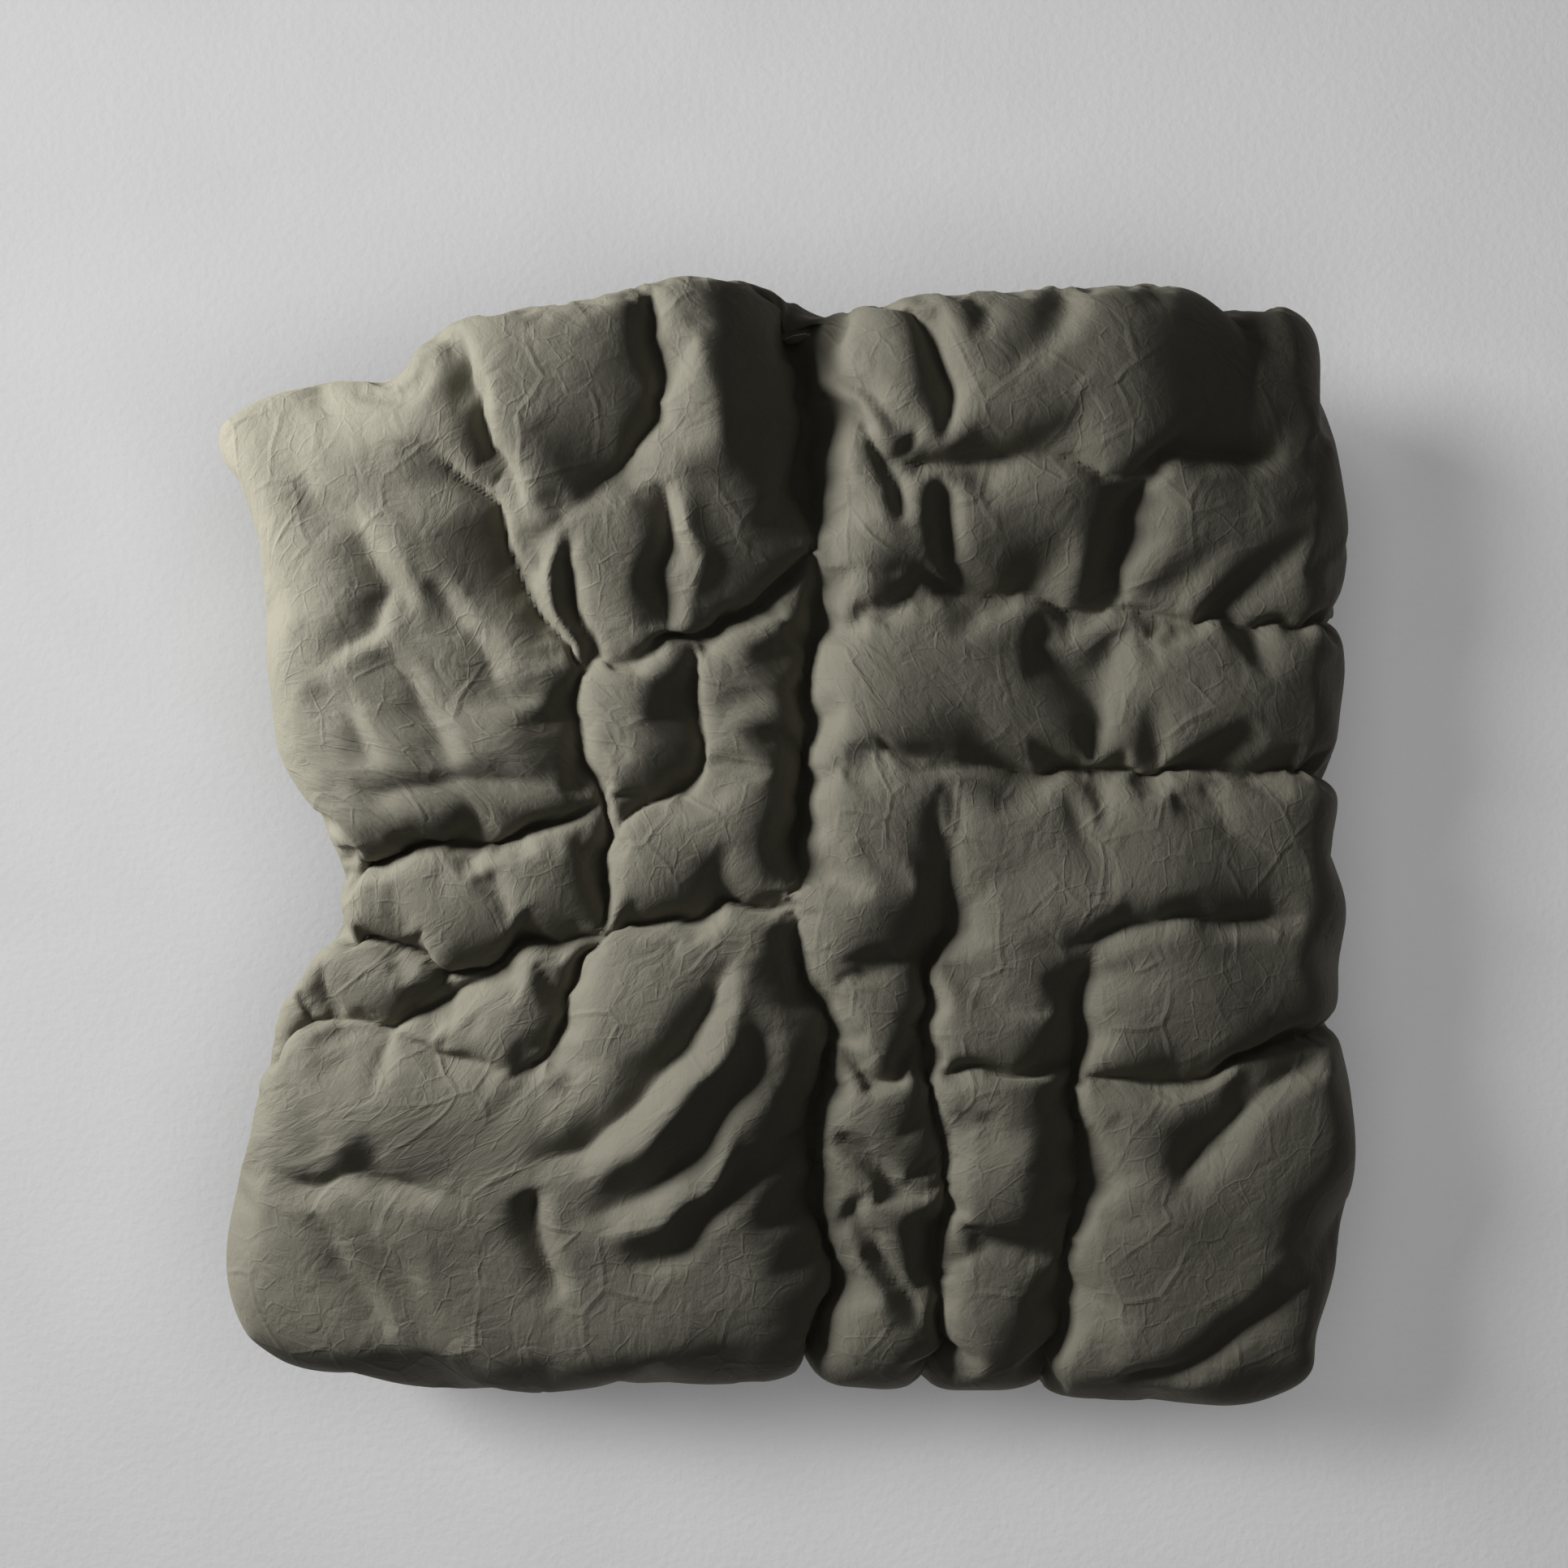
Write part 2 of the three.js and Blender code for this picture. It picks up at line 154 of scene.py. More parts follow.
def to_line(points, line):
    """From a broken line to each point: distance, direction, share of its length, and side."""
    best = np.full(len(points), 9.0)
    away = np.zeros((len(points), 2))
    side = np.zeros(len(points))
    along = np.zeros(len(points))
    lengths = [math.dist(a, b) for a, b in zip(line, line[1:])]
    done = 0.0
    for a, b, length in zip(line, line[1:], lengths):
        step = (np.array(b) - np.array(a)) / length
        rel = points - np.array(a)
        t = np.clip(rel @ step, 0, length)
        off = rel - t[:, None] * step
        distance = np.hypot(off[:, 0], off[:, 1])
        nearer = distance < best
        best = np.where(nearer, distance, best)
        away[nearer] = off[nearer]
        side = np.where(nearer, np.sign(step[0] * rel[:, 1] - step[1] * rel[:, 0]), side)
        along = np.where(nearer, (done + t) / sum(lengths), along)
        done += length
    return best, away / np.maximum(best, 1e-6)[:, None], along, side


def piece_from(bm, name):
    mesh = bpy.data.meshes.new(name)
    bm.to_mesh(mesh)
    bm.free()
    obj = bpy.data.objects.new(name, mesh)
    bpy.context.collection.objects.link(obj)
    return obj


def points_of(obj):
    flat = np.empty(len(obj.data.vertices) * 3, np.float32)
    obj.data.vertices.foreach_get("co", flat)
    return flat.reshape(-1, 3)


def shade_smooth(obj):
    obj.data.polygons.foreach_set("use_smooth", [True] * len(obj.data.polygons))


def evened(points, rounds):
    """Each inner point moved halfway to the middle of its four neighbours."""
    for _ in range(rounds):
        middle = points[:-2, 1:-1] + points[2:, 1:-1] + points[1:-1, :-2] + points[1:-1, 2:]
        points[1:-1, 1:-1] = (points[1:-1, 1:-1] + middle / 4) / 2
    return points


def waves(points, length, seed):
    """Gentle uneven waves, from about -1 to 1, of roughly that length."""
    rng = np.random.default_rng(seed)
    total = np.zeros(len(points))
    for turn, phase, stretch in rng.uniform((0, 0, 0.7), (math.pi, 2 * math.pi, 1.4), (9, 3)):
        way = np.array([math.cos(turn), math.sin(turn)]) * 2 * math.pi * stretch / length
        total += np.sin(points @ way + phase)
    return total / 4


# %% [markdown]
# ## How the duvet lies
#
# Seen from above the duvet is a rough square with pulled corners. Four edge curves hold that
# outline. From each edge inwards the cloth first hangs, then rounds over the mattress edge, and
# then lies flat, so one profile of "cloth from the hem" gives both how far in and how far down.

# %% Outline and heights
LEFT = [(-0.97, -0.89), (-1.02, -0.76), (-1.01, -0.62), (-0.98, -0.45), (-0.95, -0.31),
        (-0.89, -0.21), (-0.83, -0.12), (-0.83, -0.02), (-0.86, 0.07), (-0.91, 0.19),
        (-0.945, 0.32), (-0.97, 0.48), (-0.985, 0.62), (-1.047, 0.78)]
RIGHT = [(0.965, -0.94), (1.01, -0.78), (1.03, -0.66), (1.045, -0.50), (1.025, -0.33),
        (1.025, -0.15), (1.02, 0.08), (1.03, 0.28), (1.03, 0.52), (1.025, 0.70), (1.0, 0.82),
        (0.975, 0.95), (0.93, 1.01)]
FOOT = [(-0.97, -0.89), (-0.86, -0.945), (-0.72, -0.965), (-0.54, -0.985), (-0.30, -0.975),
        (-0.12, -0.96), (0.05, -0.965), (0.25, -0.98), (0.48, -0.99), (0.66, -1.0), (0.82, -1.01),
        (0.92, -0.985), (0.965, -0.94)]
HEAD = [(-1.047, 0.78), (-0.96, 0.84), (-0.84, 0.875), (-0.71, 0.885), (-0.65, 0.93),
        (-0.55, 0.975), (-0.38, 1.005), (-0.18, 1.04), (0.0, 1.045), (0.10, 1.0), (0.20, 1.015),
        (0.48, 1.03), (0.69, 1.04), (0.80, 1.01), (0.93, 1.01)]

THICKNESS = 0.085  # of the puffed duvet on the mattress
PILLOW_LIFT = 0.113
HANG = 0.20  # hems below the mattress top
BEND = 0.085  # rounding over the mattress edge
FOOT_BEND = 0.11
HEAD_BEND = 0.05
TUCK = 0.045  # hems turn back under by this much
CORNER_ROUNDING = 0.12  # a hanging corner falls in under the duvet by this much
CORNER_DROP = 0.07  # and its tip hangs lower than the hems
NOMINAL = 2.0  # across or along, for sharing out the cloth

# %% [markdown]
# The grid starts as Blender's own flat grid, and each of its points is then moved to where that
# bit of cloth lies. Its two grid directions stay known, so later steps can read slopes from them.


# %% The flat grid
def flat_grid(name, across, along):
    """A grid object, and the order of its points as rows from foot to head."""
    bm = bmesh.new()
    bmesh.ops.create_grid(bm, x_segments=across, y_segments=along, size=1)
    obj = piece_from(bm, name)
    co = points_of(obj)
    order = np.lexsort((co[:, 0].round(5), co[:, 1].round(5)))
    return obj, order.reshape(along + 1, across + 1)


def write_points(obj, order, points):
    flat = np.empty((order.size, 3), np.float32)
    flat[order.ravel()] = points.reshape(-1, 3)
    obj.data.vertices.foreach_set("co", flat.ravel())
    obj.data.update()


def read_points(obj, order):
    return points_of(obj)[order.ravel()].reshape(*order.shape, 3).astype(float)


# %% [markdown]
# A hem hangs straight, then the cloth rounds over the edge, then it lies flat. One function turns a
# length of cloth from the hem into how far in and how far down that point is.

# %% The hem-to-top profile
def profile(cloth, drop, bend, tuck):
    """How far in and how far down from the top, at a length of cloth from the hem."""
    straight = drop - bend
    arc = bend * math.pi / 2
    angle = np.clip((cloth - straight) / bend, 0, math.pi / 2)
    hanging = np.clip(1 - cloth / np.maximum(straight, 1e-6), 0, 1)
    inward = bend * (1 - np.cos(angle)) + np.maximum(cloth - straight - arc, 0) + tuck * hanging**1.5
    down = np.where(cloth < straight, drop - cloth, bend - bend * np.sin(angle))
    return inward, down


def shared_out(fraction, drop_low, drop_high, bend_low, bend_high, tuck_low, tuck_high):
    """The same from both edges: the fraction across the plan and the drop."""
    length_low = drop_low - bend_low + bend_low * math.pi / 2
    length_high = drop_high - bend_high + bend_high * math.pi / 2
    total = NOMINAL - bend_low - bend_high + length_low + length_high
    cloth = fraction * total
    in_low, down_low = profile(cloth, drop_low, bend_low, tuck_low)
    in_high, down_high = profile(total - cloth, drop_high, bend_high, tuck_high)
    share = np.where(cloth < total / 2, in_low, NOMINAL - in_high) / NOMINAL
    near_low = cloth < total / 2
    run = np.minimum(cloth, total - cloth)
    return share, np.where(near_low, down_low, 0), np.where(near_low, 0, down_high), run


# %% [markdown]
# The four edges and the profiles are blended into one even drape, lifted at the head by pillows.

# %% The draped base
def pillow_rise(x, y):
    """How far the two pillows lift the head end."""
    climb = smooth(y, 0.44, 0.90)
    left = smooth(x, -0.90, -0.48) * (1 - 0.7 * smooth(x, -0.20, 0.06))
    right = smooth(x, 0.00, 0.24) * (1 - smooth(x, 0.55, 0.98))
    return PILLOW_LIFT * climb * np.maximum(left, right)


def draped(order, thickness=THICKNESS):
    """The evenly draped top before its creases, its unrolled plan, and the cloth from the hem."""
    rows, columns = order.shape
    p, q = np.meshgrid(np.linspace(0, 1, columns), np.linspace(0, 1, rows))
    left_hang = HANG * (1 - smooth(q, 0.26, 0.36) * (1 - smooth(q, 0.60, 0.72)))
    left_hang = left_hang * (1 - 0.45 * smooth(q, 0.82, 1.0))
    right_hang = HANG * (1 - 0.35 * smooth(q, 0.86, 1.0))
    foot_hang = HANG * np.ones_like(q)
    across, left_down, right_down, side_run = shared_out(
        p, thickness + left_hang, thickness + right_hang, BEND, BEND, TUCK, TUCK)
    along, foot_down, head_down, end_run = shared_out(
        q, thickness + foot_hang, np.full_like(q, thickness * 0.8), FOOT_BEND, HEAD_BEND, TUCK, 0.0)
    left, right = through(LEFT, along), through(RIGHT, along)
    foot, head = through(FOOT, across), through(HEAD, across)
    a, b = across[..., None], along[..., None]
    corners = ((1 - a) * (1 - b) * np.array(FOOT[0]) + a * (1 - b) * np.array(FOOT[-1])
               + (1 - a) * b * np.array(HEAD[0]) + a * b * np.array(HEAD[-1]))
    plan = (1 - b) * foot + b * head + (1 - a) * left + a * right - corners
    side_down = left_down + right_down
    end_down = foot_down + head_down
    unrolled = plan.copy()
    corner_hang = np.clip(side_down / 0.28, 0, 1) * np.clip(end_down / 0.28, 0, 1)
    down = (side_down**4 + end_down**4) ** (1 / 4) + CORNER_DROP * corner_hang**3
    plan -= unit(plan) * (CORNER_ROUNDING * corner_hang)[..., None]
    unrolled[..., 0] += right_down - left_down
    unrolled[..., 1] += head_down - foot_down
    height = thickness + pillow_rise(plan[..., 0], plan[..., 1]) - down
    return np.dstack([plan, height]), unrolled, (side_run, end_run)


# %% [markdown]
# ## The creases
#
# A duvet is a bag of down that is longer and wider than the bed it lies on. The spare cloth goes
# into creases, and between them the down puffs up. So the creases are given as broken lines
# over the bed, and the height of the cloth follows from how far the nearest crease is.
# Each one has a depth, a reach (how far away the cloth is back at full height) and a lean: one
# bank bulges over the crease when it is positive, the other when it is negative.

# %% Creases and ridges
CREASES = {
    # the deep fold down the middle, from the head edge over the foot
    "middle_head": (0.100, 0.10, 0.17, -0.020, [(0.0, 1.12), (0.02, 1.03), (0.04, 0.90),
        (0.045, 0.78), (0.05, 0.70), (0.07, 0.57)]),
    "middle": (0.085, 0.10, 0.14, -0.016, [(0.07, 0.57), (0.07, 0.45), (0.04, 0.31), (0.03, 0.15),
        (0.04, -0.04), (0.03, -0.09)]),
    "middle_foot": (0.095, 0.08, 0.13, -0.020, [(0.03, -0.09), (0.05, -0.22), (0.09, -0.33),
        (0.07, -0.40), (0.05, -0.51), (0.05, -0.64), (0.09, -0.79), (0.06, -0.88), (0.05, -0.97),
        (0.04, -1.2)]),
    # left half, head to foot
    "head_pit": (0.040, 0.05, 0.10, -0.006, [(-0.60, 0.93), (-0.575, 0.85), (-0.545, 0.79),
        (-0.50, 0.72), (-0.47, 0.64)]),
    "head_hollow": (0.050, 0.07, 0.17, 0.0, [(-0.26, 1.01), (-0.215, 0.90), (-0.22, 0.78),
        (-0.29, 0.70), (-0.37, 0.64)]),
    "head_hollow_low": (0.040, 0.05, 0.11, -0.004, [(-0.22, 0.70), (-0.21, 0.60), (-0.215, 0.50),
        (-0.205, 0.43)]),
    "left_slant": (0.050, 0.03, 0.08, -0.006, [(-0.62, 0.72), (-0.53, 0.63), (-0.475, 0.54),
        (-0.45, 0.47), (-0.41, 0.40), (-0.375, 0.31)]),
    "left_slant_2": (0.030, 0.04, 0.03, 0.0, [(-0.395, 0.66), (-0.40, 0.55), (-0.385, 0.50),
        (-0.365, 0.40), (-0.37, 0.30)]),
    "left_long": (0.070, 0.06, 0.16, -0.012, [(-0.375, 0.36), (-0.37, 0.24), (-0.345, 0.11),
        (-0.325, 0.04), (-0.34, -0.14)]),
    "wedge": (0.050, 0.04, 0.11, 0.010, [(-0.17, 0.41), (-0.16, 0.33), (-0.145, 0.22),
        (-0.16, 0.18), (-0.25, 0.10), (-0.33, 0.03)]),
    "over_middle": (0.050, 0.09, 0.08, -0.014, [(0.05, 0.55), (-0.05, 0.49), (-0.12, 0.43),
        (-0.16, 0.415), (-0.21, 0.42), (-0.27, 0.40)]),
    "left_cross": (0.070, 0.10, 0.06, 0.018, [(-0.90, -0.04), (-0.80, -0.01), (-0.69, 0.02),
        (-0.58, 0.035), (-0.44, 0.06), (-0.35, 0.09)]),
    "under_roll": (0.065, 0.10, 0.07, 0.016, [(-0.88, -0.14), (-0.82, -0.15), (-0.74, -0.16),
        (-0.66, -0.17), (-0.62, -0.20), (-0.55, -0.19), (-0.49, -0.165), (-0.39, -0.15),
        (-0.32, -0.14)]),
    "left_fold": (0.055, 0.12, 0.06, 0.014, [(-1.05, -0.39), (-0.95, -0.35), (-0.90, -0.30),
        (-0.84, -0.285), (-0.74, -0.30), (-0.66, -0.27), (-0.57, -0.22), (-0.50, -0.18),
        (-0.42, -0.16)]),
    "left_fold_low": (0.030, 0.04, 0.07, 0.006, [(-0.87, -0.305), (-0.74, -0.315),
        (-0.63, -0.335), (-0.54, -0.365), (-0.49, -0.39)]),
    "lobe_side": (0.060, 0.08, 0.08, 0.012, [(-0.32, -0.14), (-0.37, -0.18), (-0.40, -0.24),
        (-0.415, -0.30), (-0.44, -0.36), (-0.50, -0.40)]),
    "lobe_top": (0.055, 0.09, 0.05, 0.010, [(-0.32, -0.14), (-0.22, -0.12), (-0.18, -0.11),
        (-0.12, -0.07), (-0.03, -0.09), (0.03, -0.09)]),
    "lower_slant": (0.034, 0.10, 0.06, 0.0, [(-0.50, -0.55), (-0.38, -0.53), (-0.27, -0.44),
        (-0.19, -0.36), (-0.13, -0.26), (-0.09, -0.17)]),
    "lower_slant_2": (0.028, 0.10, 0.04, 0.006, [(-0.36, -0.66), (-0.24, -0.58), (-0.14, -0.51),
        (-0.07, -0.41), (-0.03, -0.28)]),
    "lower_slant_3": (0.022, 0.08, 0.06, 0.0, [(-0.30, -0.73), (-0.20, -0.69), (-0.09, -0.60),
        (-0.03, -0.50)]),
    "left_dimple": (0.035, 0.08, 0.07, 0.006, [(-0.93, -0.56), (-0.84, -0.59), (-0.74, -0.555),
        (-0.66, -0.58), (-0.60, -0.60)]),
    "left_low": (0.040, 0.05, 0.09, -0.006, [(-0.47, -0.58), (-0.455, -0.66), (-0.43, -0.74),
        (-0.41, -0.80)]),
    "left_low_2": (0.025, 0.06, 0.10, 0.0, [(-0.88, -0.44), (-0.83, -0.54), (-0.74, -0.66),
        (-0.66, -0.77), (-0.55, -0.90)]),
    "left_low_3": (0.022, 0.05, 0.08, 0.0, [(-0.86, -0.62), (-0.78, -0.74), (-0.70, -0.86)]),
    # shallow hollows of the upper left
    "hollow_1": (0.022, 0.05, 0.10, 0.0, [(-0.86, 0.72), (-0.79, 0.62), (-0.71, 0.53),
        (-0.66, 0.44)]),
    "hollow_2": (0.026, 0.04, 0.10, 0.0, [(-0.78, 0.60), (-0.72, 0.50), (-0.74, 0.43),
        (-0.82, 0.36)]),
    "hollow_3": (0.024, 0.05, 0.11, 0.0, [(-0.64, 0.52), (-0.56, 0.41), (-0.53, 0.34),
        (-0.42, 0.26)]),
    "hollow_4": (0.022, 0.035, 0.12, 0.0, [(-0.76, 0.40), (-0.67, 0.32), (-0.625, 0.24),
        (-0.60, 0.15)]),
    "hollow_5": (0.018, 0.04, 0.07, 0.0, [(-0.86, 0.33), (-0.78, 0.28), (-0.74, 0.18)]),
    "hollow_6": (0.020, 0.06, 0.08, 0.0, [(-0.80, 0.15), (-0.66, 0.14), (-0.52, 0.16),
        (-0.42, 0.14)]),
    # right half, head to foot
    "right_slant": (0.045, 0.06, 0.09, -0.008, [(0.19, 1.08), (0.21, 1.02), (0.25, 0.93),
        (0.29, 0.83), (0.30, 0.78)]),
    "right_curve": (0.035, 0.06, 0.05, 0.0, [(0.05, 0.88), (0.10, 0.80), (0.16, 0.735),
        (0.21, 0.68), (0.22, 0.60)]),
    "right_curve_2": (0.030, 0.05, 0.05, 0.0, [(0.10, 1.0), (0.09, 0.93), (0.12, 0.86),
        (0.18, 0.80), (0.26, 0.76)]),
    "right_first": (0.045, 0.10, 0.05, 0.010, [(0.14, 0.735), (0.25, 0.715), (0.39, 0.71),
        (0.52, 0.715), (0.57, 0.70), (0.64, 0.68)]),
    "right_first_end": (0.035, 0.08, 0.05, 0.008, [(0.60, 0.67), (0.64, 0.71), (0.70, 0.735),
        (0.80, 0.74), (0.90, 0.74)]),
    "right_hollow": (0.045, 0.07, 0.16, 0.0, [(0.66, 0.70), (0.62, 0.62), (0.615, 0.54),
        (0.64, 0.46)]),
    "right_hollow_2": (0.035, 0.06, 0.10, 0.0, [(0.29, 0.70), (0.31, 0.62), (0.32, 0.55),
        (0.36, 0.48)]),
    "right_second": (0.050, 0.12, 0.06, 0.010, [(0.20, 0.52), (0.34, 0.49), (0.53, 0.46),
        (0.62, 0.47), (0.71, 0.45), (0.81, 0.44), (0.86, 0.42), (0.96, 0.44), (1.15, 0.44)]),
    "right_third": (0.060, 0.13, 0.07, 0.012, [(0.30, 0.18), (0.42, 0.17), (0.64, 0.17),
        (0.80, 0.17), (0.93, 0.17), (1.02, 0.145), (1.2, 0.14)]),
    "right_fourth": (0.040, 0.10, 0.05, 0.006, [(0.50, -0.16), (0.58, -0.14), (0.66, -0.115),
        (0.78, -0.10), (0.88, -0.09), (0.95, -0.11)]),
    "right_long": (0.070, 0.07, 0.10, -0.012, [(0.30, 0.02), (0.31, -0.14), (0.28, -0.20),
        (0.26, -0.30), (0.27, -0.40), (0.28, -0.52), (0.29, -0.64), (0.28, -0.75), (0.29, -0.85),
        (0.31, -0.92), (0.27, -0.97), (0.26, -1.2)]),
    "right_long_2": (0.070, 0.06, 0.15, -0.008, [(0.58, -0.13), (0.55, -0.24), (0.54, -0.35),
        (0.54, -0.43), (0.54, -0.56), (0.54, -0.64), (0.52, -0.76), (0.49, -0.96), (0.48, -1.2)]),
    "right_fifth": (0.035, 0.08, 0.05, 0.006, [(0.28, -0.40), (0.39, -0.37), (0.46, -0.38),
        (0.54, -0.37)]),
    "right_sixth": (0.045, 0.09, 0.06, 0.008, [(0.52, -0.43), (0.58, -0.40), (0.64, -0.41),
        (0.74, -0.40), (0.84, -0.36), (0.90, -0.33), (1.0, -0.32), (1.2, -0.30)]),
    "right_low": (0.040, 0.12, 0.05, 0.0, [(0.70, -0.62), (0.78, -0.52), (0.88, -0.43),
        (1.0, -0.34)]),
    "right_corner": (0.030, 0.08, 0.07, 0.0, [(0.62, -0.98), (0.72, -0.90), (0.86, -0.84),
        (0.98, -0.74)]),
    "strip_v": (0.030, 0.05, 0.05, 0.0, [(0.10, -0.34), (0.16, -0.40), (0.20, -0.385),
        (0.24, -0.31)]),
    "strip_v_2": (0.026, 0.05, 0.05, 0.0, [(0.08, -0.50), (0.15, -0.53), (0.20, -0.60),
        (0.25, -0.64)]),
    "strip_v_3": (0.026, 0.05, 0.05, 0.0, [(0.08, -0.70), (0.12, -0.64), (0.17, -0.70),
        (0.22, -0.80), (0.24, -0.90)]),
}
RIDGES = {
    "left_stripe": (0.010, 0.06, 0.04, [(-0.87, 0.76), (-0.80, 0.67), (-0.72, 0.57), (-0.66, 0.49)]),
    "crest": (0.012, 0.06, 0.05, [(-0.14, 0.95), (-0.13, 0.80), (-0.11, 0.68)]),
    "crest_low": (0.014, 0.04, 0.035, [(-0.19, 0.68), (-0.165, 0.58), (-0.175, 0.48)]),
    "thin_ridge": (0.020, 0.03, 0.025, [(-0.385, 0.64), (-0.42, 0.54), (-0.41, 0.46),
        (-0.385, 0.38)]),
    "lobe_ridge": (0.018, 0.05, 0.04, [(-0.36, -0.60), (-0.21, -0.44), (-0.11, -0.34),
        (-0.07, -0.22)]),
    "lobe_ridge_2": (0.014, 0.04, 0.035, [(-0.32, -0.68), (-0.15, -0.60), (-0.075, -0.49)]),
    "corner_ridge": (0.016, 0.06, 0.05, [(-0.86, -0.52), (-0.76, -0.63), (-0.66, -0.74),
        (-0.58, -0.84)]),
    "pinch": (0.020, 0.03, 0.03, [(-0.49, -0.39), (-0.44, -0.35), (-0.43, -0.40), (-0.38, -0.385)]),
}

# %% [markdown]
# Every crease lowers the cloth near it, with a steep or a gentle bank, and every ridge lifts it. A
# little wandering keeps the lines from looking drawn.

# %% The large shape
def crease_field(points):
    """How far below full height the cloth is, how its banks lean, and where it is held."""
    wander = np.stack([waves(points, 0.28, 3), waves(points, 0.28, 4)], axis=1)
    wander += 0.5 * np.stack([waves(points, 0.12, 5), waves(points, 0.12, 6)], axis=1)
    points = points + 0.012 * wander
    gathered = np.zeros(len(points))
    lean_by = np.zeros((len(points), 2))
    held = np.zeros(len(points))
    for depth, reach_left, reach_right, lean, line in CREASES.values():
        distance, away, along, side = to_line(points, line)
        ends = np.sin(np.clip(np.minimum(along, 1 - along) / 0.25, 0.12, 1) * math.pi / 2)
        reach = np.where(side > 0, reach_left, reach_right)
        t = np.clip(distance / reach, 0, 1)
        steep = np.sqrt(1 - (1 - t) ** 2)
        gentle = np.sin(t * math.pi / 2)
        rise = np.where(reach < 0.085, steep, 0.45 * steep + 0.55 * gentle)
        rounded = smooth(distance, 0, 0.02 + 0.5 * reach) ** 0.8
        sharp = np.clip((depth - 0.032) / 0.016, 0, 1)
        rise = rounded + (rise - rounded) * np.maximum(sharp, 0.35)
        gathered += (depth * ends * (1 - rise)) ** 1.8
        bank = np.where(side * np.sign(lean) > 0, 1.0, 0.0) * (4 * t * (1 - t)) ** 1.5
        bank *= np.clip(distance / 0.012, 0, 1)
        lean_by -= away * (abs(lean) * ends * bank)[:, None]
        firm = ends * np.clip((depth - 0.036) / 0.02, 0, 1)
        held = np.maximum(held, np.exp(-((distance / 0.013) ** 2)) * firm)
    depth = gathered ** (1 / 1.8)
    for height, reach_left, reach_right, line in RIDGES.values():
        distance, away, along, side = to_line(points, line)
        ends = np.sin(np.clip(np.minimum(along, 1 - along) / 0.35, 0, 1) * math.pi / 2)
        t = np.clip(distance / np.where(side > 0, reach_left, reach_right), 0, 1)
        depth -= height * ends * (1 - smooth(t, 0, 1)) * (1 - 0.4 * t)
    return depth, lean_by, held


def laid_out(order):
    """The even drape, its outward directions, the creased points, the holds and the cloth run."""
    even, unrolled, runs = draped(order)
    run = np.minimum(*runs)
    depth, lean_by, held = crease_field(unrolled.reshape(-1, 2))
    shape = run.shape
    step_across = np.gradient(even, axis=1)
    step_along = np.gradient(even, axis=0)
    outward = unit(evened(unit(np.cross(step_across, step_along)), 8))
    lean_by = lean_by.reshape(*shape, 2)
    flat = unrolled.reshape(-1, 2)
    swell = (0.012 * waves(flat, 0.55, 1) + 0.005 * waves(flat, 0.22, 2)).reshape(shape)
    swell *= smooth(run, 0.0, 0.2)
    deepest = THICKNESS - 0.012 + 0.03 * (1 - smooth(run, 0, 0.25))
    depth = np.minimum(depth.reshape(shape) - swell, deepest)
    creased = even - outward * depth[..., None]
    creased += unit(step_across) * lean_by[..., :1] + unit(step_along) * lean_by[..., 1:]
    return even, outward, creased, held.reshape(shape), runs


COARSE = (158, 155)
FINE = (316, 310)  # twice the coarse grid, so that what the simulation moved carries over
cover_top, top_order = flat_grid("cover_top", *FINE)
even, outward, top_points, _, runs = laid_out(top_order)
run = np.minimum(*runs)
print("cover top", len(cover_top.data.vertices), "points")

# %% [markdown]
# ## Blowing the down in
#
# Down pushes cloth outwards, and the spare cloth gathers beside the creases. A cloth simulation
# with pressure does both. It runs on a grid half as fine, and what it moved is carried over.

# %% Blow the down in
PRESSURE = 1.6
FRAMES = 18
CAP = 0.040
SPARE_CLOTH = 0.075
HOLD_AT_CREASES = 0.5


def blown(obj, order, held, pressure, frames, cap, extra, bending=2.0, stiffness=20):
    """Cloth simulation with spare cloth and pressure, held along the creases and hems."""
    before = read_points(obj, order)
    group = obj.vertex_groups.new(name="held")
    levels = np.round(held.ravel() * 20).astype(int)
    for level in np.unique(levels):
        group.add(order.ravel()[levels == level].tolist(), level / 20, "REPLACE")
    modifier = obj.modifiers.new("cloth", "CLOTH")
    cloth = modifier.settings
    cloth.quality = 5
    cloth.mass = 0.3
    cloth.air_damping = 3
    cloth.tension_stiffness = stiffness
    cloth.compression_stiffness = stiffness
    cloth.shear_stiffness = stiffness / 3
    cloth.bending_stiffness = bending
    cloth.use_pressure = True
    cloth.uniform_pressure_force = pressure
    cloth.shrink_min = -extra
    cloth.vertex_group_mass = "held"
    cloth.pin_stiffness = 6
    cloth.effector_weights.gravity = 0
    modifier.collision_settings.use_collision = False
    modifier.collision_settings.use_self_collision = False
    modifier.point_cache.frame_start = 1
    modifier.point_cache.frame_end = frames
    scene = bpy.context.scene
    for number in range(1, frames + 1):
        scene.frame_set(number)
    after = read_points(obj.evaluated_get(bpy.context.evaluated_depsgraph_get()), order)
    obj.modifiers.remove(modifier)
    obj.vertex_groups.remove(group)
    scene.frame_set(1)
    moved = after - before
    length = np.linalg.norm(moved, axis=-1, keepdims=True)
    moved *= np.tanh(length / cap) * cap / np.maximum(length, 1e-9)
    write_points(obj, order, before + moved)
    return moved


def twice_as_fine(values):
    """Values on a grid, with the middles filled in between them."""
    rows = np.repeat(values, 2, axis=0)[:-1]
    rows[1::2] = (values[:-1] + values[1:]) / 2
    both = np.repeat(rows, 2, axis=1)[:, :-1]
    both[:, 1::2] = (rows[:, :-1] + rows[:, 1:]) / 2
    return both


